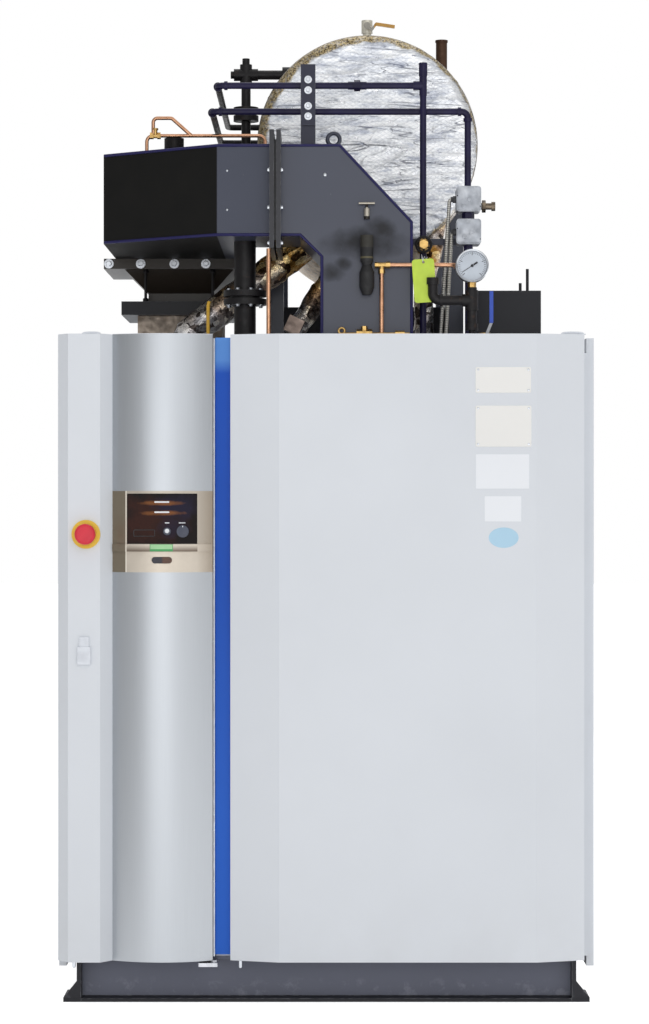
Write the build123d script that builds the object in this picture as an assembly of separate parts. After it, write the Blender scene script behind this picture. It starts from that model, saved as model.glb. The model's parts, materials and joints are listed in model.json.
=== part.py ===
from build123d import *
import os

# Steam boiler: a panelled cabinet on a channel base, with a hinged control door, that carries
# its steam drum, burner windbox, air duct and trim pipework on the deck.
# Millimetres. +X right, +Y to the back, +Z up, floor at Z 0.

# Cabinet
CABINET_W = 1440.0
CABINET_DEPTH = 2245.0
STOP_PROUD = 45.0
PANEL_BOTTOM = 120.0
PANEL_TOP = 1787.0
SIDE_BOTTOM = 92.0
SIDE_DROP = 5.0
DECK_Z = 1740.0
SHEET = 20.0
PANEL_DEPTH = 80.0
FACET_BACK = 36.0
FACET_W = 130.0
PANEL_INSET = 33.0
SIDE_SETBACK = 115.0
COMPARTMENT_DEPTH = 160.0
COMPARTMENT_WALL = 6.0

# Base
BASE_H = 125.0
BASE_INSET = 50.0
BASE_SETBACK = 84.0
FLANGE_W = 40.0
FLANGE_T = 10.0
WEB_T = 12.0
FOOT_W = 36.0
FOOT_L = 120.0
FOOT_T = 12.0
GUSSET_H = 56.0
ANCHOR_R = 9.0

# Blue trim post
TRIM_W = 41.0
TRIM_SETBACK = 60.0
TRIM_DROP = 7.0

# Control door
DOOR_INSET = 5.0
DOOR_PANEL_W = 145.0
COLUMN_W = 266.7
COLUMN_SAGITTA = 35.0
COLUMN_TOP = 1788.0
DOOR_DEPTH = 60.0
DOOR_LIP = 9.0
DOOR_LIP_DEPTH = 108.0
DOOR_FACET = 30.0
HINGE_R = 3.0
HINGE_DEPTH = 45.0
HINGE_LEAF = 2.5
HINGE_CLEAR = 0.3
BEZEL_Z0 = 1154.0
BEZEL_Z1 = 1370.0
WINDOW_W = 187.0
WINDOW_H = 134.0
WINDOW_RISE = 75.0
WINDOW_RECESS = 22.0
WINDOW_T = 10.0
LEDGE_H = 20.0
LEDGE_PROUD = 5.0
PILL_W = 56.0
PILL_H = 19.0
PILL_DEPTH = 5.0
KNOB_R = 16.0
BUTTON_R = 10.0
LATCH_Z = 910.0
LATCH_W = 35.0
LATCH_H = 47.0
LATCH_T = 9.0
TONGUE_W = 25.0
TONGUE_H = 26.0
TONGUE_T = 6.0
LATCH_SHIFT = 5.0
STOP_REACH = 78.0
STOP_Z = 1255.0
STOP_RING_R = 38.0
STOP_HEAD_R = 27.5
STOP_TRAVEL = 6.0
STOP_STEM_R = 14.0
RUN_CLEAR = 0.3

# Burner side
WINDBOX_RISE = 321.0
WINDBOX_H = 249.0
WINDBOX_FRONT = 150.0
WINDBOX_INSET = 99.0
WINDBOX_X1 = -154.0
WINDBOX_CHAMFER_X = -296.0
WINDBOX_CHAMFER_D = 214.0
WINDBOX_WAIST_X = -250.0
WINDBOX_WAIST_GAP = 40.0
BURNER_INSET = 285.0
BURNER_GAP = 90.0
BURNER_FLANGE_H = 30.0
BURNER_FLANGE_W = 442.0
BURNER_FLANGE_L = 360.0
FUNNEL_TOP_W = 322.0
FUNNEL_NECK_W = 190.0
FUNNEL_H = 66.0
BEAM_RISE = 156.0
BEAM_H = 40.0
BEAM_W = 340.0
BURNER_NECK_W = 250.0
CAP_R = 28.0
CAP_H = 71.0
CAP_D = 400.0
GAS_R = 30.0
GAS_X = -225.0
GAS_D = 300.0
GAS_FLANGE_R = 59.0
GAS_FLANGE_T = 17.0
GAS_GASKET = 6.0
GAS_FLANGE_RISE = 145.0
TRANSFORMER_X = -88.0
TRANSFORMER_D = 210.0
TRANSFORMER_RISE = 82.0
TRANSFORMER_W = 44.0
PILOT_D = 280.0
PILOT_RISE = 62.0
PILOT_REACH = 70.0

# Air duct
DUCT_DEPTH = 300.0
DUCT_X1 = 234.0
DUCT_LEG_X0 = -16.0
DUCT_CHAMFER_X = 197.0
DUCT_CHAMFER_Z = 210.0
DUCT_ELBOW = 56.0
FLANGE_PAIR_T = 31.0
FLANGE_PAIR_RIM = 35.0
EYE_R = 17.0
HANDLE_RISE = 87.0
HANDLE_W = 43.0
HANDLE_R = 3.5
HANDLE_STAND = 12.0
DETECTOR_X = 109.0
DETECTOR_R = 17.5
DETECTOR_DROP = 161.0

# Steam drum
DRUM_X = 117.0
DRUM_RISE = 618.5
DRUM_R = 314.5
DRUM_WALL = 45.0
DRUM_GAP = 15.0
DRUM_L = 1400.0
DRUM_END_T = 60.0
DRUM_EDGE = 35.0
LEG_W = 42.0
LEG_SPREAD = 526.0
LEG_INSET = 250.0
FLUE_H = 227.0
FLUE_L = 680.0
VENT_INSET = 100.0
VENT_R = 16.0
VENT_H = 37.0
VENT_NIPPLE = 17.0
VENT_STEM = 26.0
LEVER_L = 79.0
LEVER_W = 7.0
LEVER_DIP = 13.0
LEVER_KNEE = 25.0
LEVER_SLOPE = 4.0
STUB_X = 221.0
STUB_INSET = 250.0
STUB_R = 16.5
STUB_CAP = 6.0
STUB_RISE = 24.0

# Insulated pipes under the drum
INSULATED_INSET = 60.0
INSULATED_R = 45.0
INSULATED_STEP = 80.0
LAG_LEFT_START = -100.0
LAG_LEFT_DROP = 225.0
LAG_LEFT_TURN = -527.0
LAG_LEFT_RISE = 75.0
LAG_MID_START = -10.0
LAG_MID_DROP = 200.0
LAG_MID_TURN = -227.0
LAG_MID_RISE = 60.0
LAG_RIGHT_START = 200.0
LAG_RIGHT_DROP = 200.0
LAG_RIGHT_TURN = 160.0
LAG_RIGHT_RISE = 190.0

# Trim pipework
SENSE_R = 9.0
SENSE_BEND = 18.0
SENSE_D = 213.0
SENSE_UPPER_RISE = 738.0
SENSE_LOWER_RISE = 670.0
SENSE_UPPER_X0 = -297.0
SENSE_LOWER_X0 = -313.0
SENSE_UPPER_INSET = 500.0
SENSE_LOWER_INSET = 350.0
SENSE_PASS = 2.0
SENSE_RISER_X = 264.0
SENSE_COUPLING_X = 84.0
SENSE_CAP = 62.0
SENSE_CAP_H = 36.0
UNION_R = 15.5
UNION_W = 17.0
COLUMN_PIPE_R = 13.5
COLUMN_CLEAR = 2.5
COLUMN_GAP = 81.5
COLUMN_TEE = 229.0
COLUMN_FLANGE_R = 36.5
COLUMN_FLANGE_T = 16.0
COLUMN_FLANGE_RISE = 712.0
BRACKET_X = -50.0
BRACKET_W = 40.0
BRACKET_T = 8.0
BRACKET_LOWER_H = 58.0
BRACKET_LAP = 25.0
GAUGE_X = 391.0
GAUGE_RISE = 235.0
GAUGE_R = 44.5
GAUGE_T = 35.0
GAUGE_D = 120.0
GAUGE_STEM = 13.0
GAUGE_STEM_R = 11.5
MANIFOLD_RISE = 143.0
MANIFOLD_FOOT = 62.0
BRANCH_X = 286.0
BRANCH_RISE = 61.0
COPPER_R = 6.0
TEE_X = 149.0
LINE_TURN_X = 352.0
LINE_STAND = 17.5
TEE_R = 8.0
TEE_REACH = 23.0
SWITCH_X = 387.0
SWITCH_W = 67.0
SWITCH_H = 69.0
SWITCH_T = 70.0
SWITCH_FIT_R = 17.0
SWITCH_FIT_H = 24.0
TEST_NUT_R = 17.0
SWITCH_UPPER_RISE = 391.0
SWITCH_LOWER_RISE = 302.0
ISOLATOR_RISE = 280.0
ISOLATOR_H = 40.0
ISOLATOR_R = 24.0
ISOLATOR_NUT_R = 13.0
ISOLATOR_NUT_T = 6.0
COCK_X = (41.0, 102.0, 198.0)
COCK_RISE = 54.0
COCK_LINE_R = 4.0
COCK_RING_R = 8.0
COCK_BODY_R = 13.0
COCK_BODY_W = 42.0
COCK_NUT_R = 9.0
COCK_NUT_W = 26.0
CONDUIT_R = 5.0
DRAIN_X = 430.0
DRAIN_D = 190.0
DRAIN_RISE = 45.0
DRAIN_CRANK = 17.0
DRAIN_GRIP = 85.0
DRAIN_LEVER_W = 8.0
LEVER_T = 4.0
BOX_X = 414.0
BOX_LOW_W = 183.0
BOX_LOW_H = 190.0
BOX_LOW_D = 350.0
BOX_LOW_L = 450.0
BOX_TALL_W = 48.0
BOX_TALL_H = 314.0
BOX_TALL_L = 250.0
BOX_TALL_GAP = 60.0

WINDBOX_Z0 = DECK_Z + WINDBOX_RISE
BEAM_Z = DECK_Z + BEAM_RISE
GAS_FLANGE_Z = DECK_Z + GAS_FLANGE_RISE
DRUM_Z = DECK_Z + DRUM_RISE
SENSE_UPPER_Z = DECK_Z + SENSE_UPPER_RISE
SENSE_LOWER_Z = DECK_Z + SENSE_LOWER_RISE
COLUMN_FLANGE_Z = DECK_Z + COLUMN_FLANGE_RISE
GAUGE_Z = DECK_Z + GAUGE_RISE
SWITCH_UPPER_Z = DECK_Z + SWITCH_UPPER_RISE
SWITCH_LOWER_Z = DECK_Z + SWITCH_LOWER_RISE
ISOLATOR_Z = DECK_Z + ISOLATOR_RISE
DRAIN_Z = DECK_Z + DRAIN_RISE
FRONT_Y = STOP_PROUD - (CABINET_DEPTH + STOP_PROUD) / 2
REAR_Y = FRONT_Y + CABINET_DEPTH
HALF_W = CABINET_W / 2
INNER_X = HALF_W - SHEET
WINDBOX_X0 = WINDBOX_INSET - HALF_W
BURNER_X = BURNER_INSET - HALF_W
SIDE_TOP = PANEL_TOP - SIDE_DROP
BASE_HALF_W = HALF_W - BASE_INSET
DOOR_X0 = DOOR_INSET - HALF_W
COLUMN_X0 = DOOR_X0 + DOOR_PANEL_W
COLUMN_X1 = COLUMN_X0 + COLUMN_W
HINGE_X = COLUMN_X1 + HINGE_CLEAR + HINGE_R
TRIM_X0 = HINGE_X + HINGE_R
PANEL_X0 = TRIM_X0 + TRIM_W
PANEL_X1 = HALF_W - PANEL_INSET
STOP_X = DOOR_X0 + STOP_REACH
COLUMN_MID = (COLUMN_X0 + COLUMN_X1) / 2
CASING_FRONT = PANEL_DEPTH
COMPARTMENT_BACK = CASING_FRONT + COMPARTMENT_DEPTH
WINDBOX_Z1 = WINDBOX_Z0 + WINDBOX_H
DUCT_X0 = WINDBOX_X1 + FLANGE_PAIR_T
DRUM_FRONT = WINDBOX_FRONT + DUCT_DEPTH + FLANGE_PAIR_RIM + DRUM_GAP
INSULATED_D = DRUM_FRONT + INSULATED_INSET
COLUMN_D = INSULATED_D + INSULATED_R + COLUMN_GAP + COLUMN_PIPE_R
BURNER_D = COLUMN_D + BURNER_GAP + BURNER_FLANGE_L / 2
WINDBOX_L = BURNER_D + BURNER_FLANGE_L / 2 - WINDBOX_FRONT
WINDBOX_WAIST_D = DRUM_FRONT - WINDBOX_WAIST_GAP - WINDBOX_FRONT
LEG_FRONT_D = DRUM_FRONT + LEG_INSET
LEG_REAR_D = DRUM_FRONT + DRUM_L - LEG_INSET
VENT_D = DRUM_FRONT + VENT_INSET
STUB_D = DRUM_FRONT + STUB_INSET
FLUE_FRONT = LEG_REAR_D - FLUE_L / 3
BOX_TALL_D = FLUE_FRONT - BOX_TALL_GAP - BOX_TALL_L
SENSE_UPPER_D = DRUM_FRONT + SENSE_UPPER_INSET
SENSE_LOWER_D = DRUM_FRONT + SENSE_LOWER_INSET
SENSE_ELBOW = SENSE_BEND * 1.5
SENSE_LOW_D = SENSE_D + SENSE_R * 2 + SENSE_PASS
LOW = (Align.CENTER, Align.CENTER, Align.MIN)


def back(depth):
    """Y of a plane that lies this far behind the main front panel."""
    return FRONT_Y + depth


def block(x0, x1, y0, y1, z0, z1):
    """Axis-aligned box between two corners."""
    centre = Pos((x0 + x1) / 2, (y0 + y1) / 2, (z0 + z1) / 2)
    return centre * Box(x1 - x0, y1 - y0, z1 - z0)


def plan_prism(points, z0, z1):
    """Upright prism over a plan outline."""
    return extrude(Pos(0, 0, z0) * make_face(Polyline(*points, close=True)), z1 - z0)


def rod(start, end, radius):
    """Round bar between two points."""
    axis = Vector(*end) - Vector(*start)
    return Plane(origin=start, z_dir=axis) * Cylinder(radius, axis.length, align=LOW)


def hexagon(start, end, radius):
    """Six-sided bar between two points, as a nut or the body of a fitting."""
    axis = Vector(*end) - Vector(*start)
    return extrude(Plane(origin=start, z_dir=axis) * RegularPolygon(radius, 6), axis.length)


def flat_bar(pivot, points, width, thick):
    """Flat bar bent edgeways along points from its pivot, in a plane that faces the front."""
    plane = Plane(origin=pivot, x_dir=(1, 0, 0), z_dir=(0, -1, 0))
    return extrude(plane * trace(Polyline(*points), width), thick)


def pipe(points, radius, bend):
    """Round pipe with a bend at each inner point."""
    path = FilletPolyline(*points, radius=bend)
    return sweep(Plane(path @ 0, z_dir=path % 0) * Circle(radius), path=path)


def drum_space(gap=RUN_CLEAR):
    """The drum's outer cylinder with a seating gap, for cutting what meets it."""
    start = (DRUM_X, back(DRUM_FRONT) - gap, DRUM_Z)
    end = (DRUM_X, back(DRUM_FRONT + DRUM_L) + gap, DRUM_Z)
    return rod(start, end, DRUM_R + gap)


def cross_channel(web_y, outward):
    """Front or rear base channel, its flanges turned outward from the web."""
    half = BASE_HALF_W - WEB_T
    tip = web_y + outward * FLANGE_W
    inner = web_y - outward * FLANGE_T
    near, far = sorted((inner, tip))
    channel = block(-half, half, *sorted((inner, web_y)), 0, BASE_H)
    channel += block(-half, half, near, far, 0, FLANGE_T)
    channel += block(-half, half, near, far, BASE_H - FLANGE_T, BASE_H)
    return channel


def anchor_foot(side, corner_y, inward):
    """Foot plate with an anchor hole, stiffened by a gusset at the frame's corner."""
    x_in = side * BASE_HALF_W
    x_out = side * (BASE_HALF_W + FOOT_W)
    ends = sorted((corner_y, corner_y + inward * FOOT_L))
    foot = block(*sorted((x_in, x_out)), *ends, 0, FOOT_T)
    outline = Polyline((x_in, FOOT_T), (x_out, FOOT_T), (x_in, GUSSET_H), close=True)
    gusset = extrude(Plane.XZ * make_face(outline), -inward * FOOT_T)
    foot += Pos(0, corner_y, 0) * gusset
    hole_y = corner_y + inward * (FOOT_L + FOOT_T) / 2
    return foot - Pos(side * (BASE_HALF_W + FOOT_W / 2), hole_y, 0) * Cylinder(ANCHOR_R, 4 * FOOT_T)


def side_channel(side):
    """Left or right base channel with its two anchor feet."""
    front = back(BASE_SETBACK)
    rear = REAR_Y - BASE_SETBACK
    inset = FLANGE_W + FLANGE_T
    web = sorted((side * BASE_HALF_W, side * (BASE_HALF_W - WEB_T)))
    flange = sorted((side * BASE_HALF_W, side * (BASE_HALF_W - WEB_T - FLANGE_W)))
    channel = block(*web, front, rear, 0, BASE_H)
    channel += block(*flange, front + inset, rear - inset, 0, FLANGE_T)
    channel += block(*flange, front + inset, rear - inset, BASE_H - FLANGE_T, BASE_H)
    channel += anchor_foot(side, front, 1)
    return channel + anchor_foot(side, rear, -1)


def control_compartment():
    """Empty tray behind the control door, open to the front."""
    wall = COMPARTMENT_WALL
    front = back(DOOR_DEPTH + HINGE_LEAF * 3)
    rear = back(COMPARTMENT_BACK)
    right = TRIM_X0 - HINGE_LEAF
    tray = block(-INNER_X, right, front, rear, BASE_H, DECK_Z)
    return tray - block(-INNER_X + wall, right - wall, front - wall, rear - wall,
                        BASE_H + wall, DECK_Z - wall)


def main_front_panel():
    """Wide lift-off panel with a folded facet at each side."""
    front = back(0)
    fold = back(FACET_BACK)
    rear = back(PANEL_DEPTH)
    outline = [(PANEL_X0, fold), (PANEL_X0 + FACET_W, front), (PANEL_X1 - FACET_W, front),
               (PANEL_X1, fold), (PANEL_X1, rear), (PANEL_X0, rear)]
    return plan_prism(outline, PANEL_BOTTOM, PANEL_TOP)


def door_hinge():
    """Full-height hinge: barrel and the leaf fixed to the trim post's side."""
    z0 = PANEL_BOTTOM + FLANGE_T
    z1 = PANEL_TOP - FLANGE_T
    axis_y = back(HINGE_DEPTH)
    barrel = rod((HINGE_X, axis_y, z0), (HINGE_X, axis_y, z1), HINGE_R)
    return barrel + block(TRIM_X0 - HINGE_LEAF, TRIM_X0, axis_y, back(SIDE_SETBACK), z0, z1)


def door_rest():
    """Plate and boss under the door's hinged corner, carried by the front channel."""
    top = BASE_H - FLANGE_T
    plate = block(HINGE_X - FLANGE_W, HINGE_X + FLANGE_T, back(FLANGE_T * 2),
                  back(BASE_SETBACK + FLANGE_W), top - FLANGE_T, top)
    foot = (HINGE_X, back(HINGE_DEPTH), top)
    head = (HINGE_X, back(HINGE_DEPTH), PANEL_BOTTOM - HINGE_CLEAR)
    return plate + rod(foot, head, FLANGE_T)


def column_section(z0, z1, proud=0.0):
    """Curved column cover between two heights, its face moved forward by proud."""
    chord_y = back(COLUMN_SAGITTA - proud)
    rear = back(DOOR_DEPTH)
    face = ThreePointArc((COLUMN_X0, chord_y), (COLUMN_MID, back(-proud)), (COLUMN_X1, chord_y))
    sides = Polyline((COLUMN_X1, chord_y), (COLUMN_X1, rear), (COLUMN_X0, rear), (COLUMN_X0, chord_y))
    return extrude(Pos(0, 0, z0) * make_face([face, sides]), z1 - z0)


def stop_stem_hole(depth):
    """Bore for the stop button's stem, from the door face back to a depth."""
    radius = STOP_STEM_R + RUN_CLEAR
    return rod((STOP_X, back(-STOP_PROUD), STOP_Z), (STOP_X, back(depth), STOP_Z), radius)


def door_left_panel():
    """Folded panel at the door's free side, with a return lip along its edge."""
    front = back(0)
    rear = back(DOOR_DEPTH)
    lip_rear = back(DOOR_LIP_DEPTH)
    outline = [(DOOR_X0, back(FACET_BACK)), (DOOR_X0 + DOOR_FACET, front),
               (COLUMN_X0 - DOOR_FACET, front), (COLUMN_X0, back(COLUMN_SAGITTA)),
               (COLUMN_X0, rear), (DOOR_X0 + DOOR_LIP, rear), (DOOR_X0 + DOOR_LIP, lip_rear),
               (DOOR_X0, lip_rear)]
    return plan_prism(outline, PANEL_BOTTOM, PANEL_TOP) - stop_stem_hole(STOP_TRAVEL * 4)


def window_space(front_depth, rear_depth):
    """Block of the control window's size between two depths."""
    x0 = COLUMN_MID - WINDOW_W / 2
    z0 = BEZEL_Z0 + WINDOW_RISE
    return block(x0, x0 + WINDOW_W, back(front_depth), back(rear_depth), z0, z0 + WINDOW_H)


def control_bezel():
    """Curved bezel with a window pocket, a proud ledge below it and a pill-shaped recess."""
    ledge_z1 = BEZEL_Z0 + WINDOW_RISE
    bezel = column_section(BEZEL_Z0, BEZEL_Z1)
    bezel += column_section(ledge_z1 - LEDGE_H, ledge_z1, LEDGE_PROUD)
    bezel -= window_space(-WINDOW_RECESS, WINDOW_RECESS + WINDOW_T)
    pill = extrude(Plane.XZ * SlotOverall(PILL_W, PILL_H), PILL_DEPTH * 4)
    pill_z = (BEZEL_Z0 + ledge_z1 - LEDGE_H) / 2 + PILL_H / 4
    return bezel - Pos(COLUMN_MID, back(PILL_DEPTH), pill_z) * pill


def control_knobs():
    """Selector knob and push button on the window's fascia."""
    fascia = back(WINDOW_RECESS)
    z = BEZEL_Z0 + WINDOW_RISE + WINDOW_H / 4
    knob_x = COLUMN_MID + WINDOW_W / 2 - KNOB_R * 2.4
    button_x = knob_x - KNOB_R - BUTTON_R - KNOB_R
    knob = rod((knob_x, fascia, z), (knob_x, fascia - KNOB_R * 0.9, z), KNOB_R)
    button = rod((button_x, fascia, z), (button_x, fascia - BUTTON_R * 0.6, z), BUTTON_R)
    return Compound(children=[knob, button])


def door_latch():
    """Latch body and tongue on the door's free side."""
    x = STOP_X - LATCH_SHIFT
    z1 = LATCH_Z + LATCH_H
    body = block(x - LATCH_W / 2, x + LATCH_W / 2, back(-LATCH_T), back(0), LATCH_Z, z1)
    tongue = block(x - TONGUE_W / 2, x + TONGUE_W / 2, back(-TONGUE_T), back(0), z1, z1 + TONGUE_H)
    return body + tongue


def stop_ring():
    """Round collar of the emergency stop."""
    ring = rod((STOP_X, back(0), STOP_Z), (STOP_X, back(-STOP_TRAVEL * 1.5), STOP_Z), STOP_RING_R)
    return ring - stop_stem_hole(STOP_TRAVEL)


def stop_button():
    """Mushroom head of the emergency stop on its stem."""
    rim = -STOP_PROUD * 0.55
    head = rod((STOP_X, back(rim), STOP_Z), (STOP_X, back(-STOP_PROUD), STOP_Z), STOP_HEAD_R)
    head = fillet(head.edges().group_by(Axis.Y)[0], STOP_HEAD_R * 0.3)
    return head + rod((STOP_X, back(rim), STOP_Z), (STOP_X, back(STOP_TRAVEL), STOP_Z), STOP_STEM_R)


def boiler_casing():
    """Closed casing around the boiler, stepped forward behind the main front panel."""
    rear = REAR_Y - SHEET
    step = back(COMPARTMENT_BACK)
    casing = block(-INNER_X, INNER_X, step, rear, BASE_H, DECK_Z)
    return casing + block(TRIM_X0, INNER_X, back(CASING_FRONT), step, BASE_H, DECK_Z)


def side_panel(side):
    """Flat side sheet, hung a little below the casing."""
    faces = sorted((side * INNER_X, side * HALF_W))
    return block(*faces, back(SIDE_SETBACK), REAR_Y - SHEET, SIDE_BOTTOM, SIDE_TOP)


def front_prism(points, y0, y1):
    """Prism over an outline drawn on the front, between two Y planes."""
    return Pos(0, y1, 0) * extrude(Plane.XZ * make_face(Polyline(*points, close=True)), y1 - y0)


def windbox():
    """Burner windbox with a chamfered front corner and a waist beside the drum."""
    front = back(WINDBOX_FRONT)
    chamfer = back(WINDBOX_FRONT + WINDBOX_CHAMFER_D)
    waist = back(WINDBOX_FRONT + WINDBOX_WAIST_D)
    rear = back(WINDBOX_FRONT + WINDBOX_L)
    outline = [(WINDBOX_X1, front), (WINDBOX_X1, waist), (WINDBOX_WAIST_X, waist),
               (WINDBOX_WAIST_X, rear), (WINDBOX_X0, rear), (WINDBOX_X0, chamfer),
               (WINDBOX_CHAMFER_X, front)]
    return plan_prism(outline, WINDBOX_Z0, WINDBOX_Z1)


def windbox_cap():
    """Short capped pipe on the windbox's top."""
    foot = Pos(BURNER_X, back(WINDBOX_FRONT + CAP_D), WINDBOX_Z1)
    neck = foot * Cylinder(CAP_R * 0.9, CAP_H, align=LOW)
    return neck + foot * Pos(0, 0, CAP_H * 0.6) * Cylinder(CAP_R, CAP_H * 0.4, align=LOW)


def burner_funnel():
    """Burner flange with the square funnel and neck welded below it."""
    y = back(BURNER_D)
    flange_z = WINDBOX_Z0 - BURNER_FLANGE_H
    neck_z = flange_z - FUNNEL_H
    flange = block(BURNER_X - BURNER_FLANGE_W / 2, BURNER_X + BURNER_FLANGE_W / 2,
                   y - BURNER_FLANGE_L / 2, y + BURNER_FLANGE_L / 2, flange_z, WINDBOX_Z0)
    mouth = Pos(BURNER_X, y, flange_z) * Rectangle(FUNNEL_TOP_W, FUNNEL_TOP_W)
    throat = Pos(BURNER_X, y, neck_z) * Rectangle(FUNNEL_NECK_W, FUNNEL_NECK_W)
    neck = block(BURNER_X - FUNNEL_NECK_W / 2, BURNER_X + FUNNEL_NECK_W / 2,
                 y - FUNNEL_NECK_W / 2, y + FUNNEL_NECK_W / 2, BEAM_Z + BEAM_H, neck_z)
    return flange + loft([throat.face(), mouth.face()]) + neck


def burner_block(width, z0, z1):
    """Square block on the burner's axis."""
    y = back(BURNER_D)
    return block(BURNER_X - width / 2, BURNER_X + width / 2, y - width / 2, y + width / 2, z0, z1)


def gas_pipe():
    """Gas pipe from the deck to the windbox with a bolted flange pair."""
    y = back(GAS_D)
    run = rod((GAS_X, y, DECK_Z), (GAS_X, y, WINDBOX_Z0), GAS_R)
    for rise in (0, GAS_FLANGE_T + GAS_GASKET):
        foot = Pos(GAS_X, y, GAS_FLANGE_Z + rise)
        run += foot * Cylinder(GAS_FLANGE_R, GAS_FLANGE_T, align=LOW)
    return run + Pos(GAS_X, y, GAS_FLANGE_Z) * Cylinder(GAS_R + WEB_T, GAS_FLANGE_T * 2, align=LOW)


def air_duct():
    """Folded combustion-air duct: from the windbox flange, over and down into the deck."""
    front = back(WINDBOX_FRONT)
    shoulder = DUCT_X1 - DUCT_CHAMFER_X
    outline = [(DUCT_X0, WINDBOX_Z1), (shoulder, WINDBOX_Z1), (DUCT_X1, WINDBOX_Z1 - DUCT_CHAMFER_Z),
               (DUCT_X1, DECK_Z), (DUCT_LEG_X0, DECK_Z), (DUCT_LEG_X0, WINDBOX_Z0 - DUCT_ELBOW),
               (DUCT_LEG_X0 - DUCT_ELBOW, WINDBOX_Z0), (DUCT_X0, WINDBOX_Z0)]
    duct = front_prism(outline, front, front + DUCT_DEPTH)
    eye_x = shoulder - EYE_R
    eye = Pos(eye_x, front + DUCT_DEPTH / 2, WINDBOX_Z1)
    duct += eye * Cylinder(EYE_R * 1.2, EYE_R * 0.7, align=LOW)
    return duct + eye * Pos(0, 0, EYE_R * 1.95) * Rot(90, 0, 0) * Torus(EYE_R, EYE_R * 0.33)


def duct_flange_pair():
    """Two flange frames with a gasket between windbox and duct."""
    rim = FLANGE_PAIR_RIM
    front = back(WINDBOX_FRONT)
    plate_t = FLANGE_PAIR_T * 0.4

    def plate(x0, x1, reach):
        return block(x0, x1, front - reach, front + DUCT_DEPTH + reach,
                     WINDBOX_Z0 - reach, WINDBOX_Z1 + reach)

    pair = plate(WINDBOX_X1, WINDBOX_X1 + plate_t, rim) + plate(DUCT_X0 - plate_t, DUCT_X0, rim)
    return pair + plate(WINDBOX_X1, DUCT_X0, rim / 3)


def damper_handle():
    """T-handle rod in a sleeve on the duct face."""
    x = DETECTOR_X
    y = back(WINDBOX_FRONT) - HANDLE_STAND
    top = WINDBOX_Z0 + HANDLE_RISE
    handle = rod((x, y, top - HANDLE_W), (x, y, top), HANDLE_R)
    handle += rod((x - HANDLE_W / 2, y, top), (x + HANDLE_W / 2, y, top), HANDLE_R)
    handle += rod((x, y, top - HANDLE_W), (x, y, top - HANDLE_W / 3), HANDLE_R * 2.3)
    lug_z = top - HANDLE_W * 0.7
    return handle + rod((x, y, lug_z), (x, back(WINDBOX_FRONT), lug_z), HANDLE_R * 1.5)


def flame_detector():
    """Detector head on the duct face with its rubber boot hanging below."""
    z = WINDBOX_Z0 - DETECTOR_DROP
    boot_r = DETECTOR_R * 1.15
    stand = boot_r + RUN_CLEAR
    waist_r = DETECTOR_R * 0.7
    profile = Polyline((0, z), (boot_r * 0.6, z), (boot_r, z + boot_r), (boot_r, z + boot_r * 3),
                       (waist_r, z + boot_r * 4), (DETECTOR_R, z + boot_r * 4.5),
                       (DETECTOR_R, WINDBOX_Z0 - RUN_CLEAR), (0, WINDBOX_Z0 - RUN_CLEAR), close=True)
    body = revolve(Plane.XZ * make_face(profile), Axis.Z)
    lug_z = WINDBOX_Z0 - DETECTOR_R
    lug = rod((0, 0, lug_z), (0, stand, lug_z), DETECTOR_R / 2)
    return Pos(DETECTOR_X, back(WINDBOX_FRONT) - stand, 0) * (body + lug)


def drum_shell():
    """Insulated cylinder of the steam drum."""
    start = (DRUM_X, back(DRUM_FRONT + DRUM_END_T), DRUM_Z)
    end = (DRUM_X, back(DRUM_FRONT + DRUM_L - DRUM_END_T), DRUM_Z)
    return rod(start, end, DRUM_R) - rod(start, end, DRUM_R - DRUM_WALL)


def drum_end(depth, outer):
    """Round end of the drum, its outer edge rolled; outer is the edge to roll, 0 front or -1 rear."""
    start = (DRUM_X, back(depth), DRUM_Z)
    disc = rod(start, (DRUM_X, back(depth + DRUM_END_T), DRUM_Z), DRUM_R)
    return fillet(disc.edges().filter_by(GeomType.CIRCLE).sort_by(Axis.Y)[outer], DRUM_EDGE)


def drum_legs():
    """Four square legs under the drum; the rear pair stands on the flue casing."""
    legs = []
    for depth, foot_z in ((LEG_FRONT_D, DECK_Z), (LEG_REAR_D, DECK_Z + FLUE_H)):
        for side in (-1, 1):
            x = DRUM_X + side * LEG_SPREAD / 2
            y = back(depth)
            leg = block(x - LEG_W / 2, x + LEG_W / 2, y - LEG_W / 2, y + LEG_W / 2, foot_z, DRUM_Z)
            legs.append((leg - drum_space()).solids()[0])
    return Compound(children=legs)


def vent_valve():
    """Ball valve on the drum's crown, its stem to the front."""
    y = back(VENT_D)
    crown = DRUM_Z + DRUM_R
    nipple = rod((DRUM_X, y, DRUM_Z), (DRUM_X, y, crown + VENT_NIPPLE), VENT_R * 0.75) - drum_space()
    body = rod((DRUM_X, y, crown + VENT_NIPPLE), (DRUM_X, y, crown + VENT_NIPPLE + VENT_H), VENT_R)
    stem_z = crown + VENT_NIPPLE + VENT_H / 2
    return nipple + body + rod((DRUM_X, y, stem_z), (DRUM_X, y - VENT_STEM, stem_z), VENT_R * 0.35)


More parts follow.
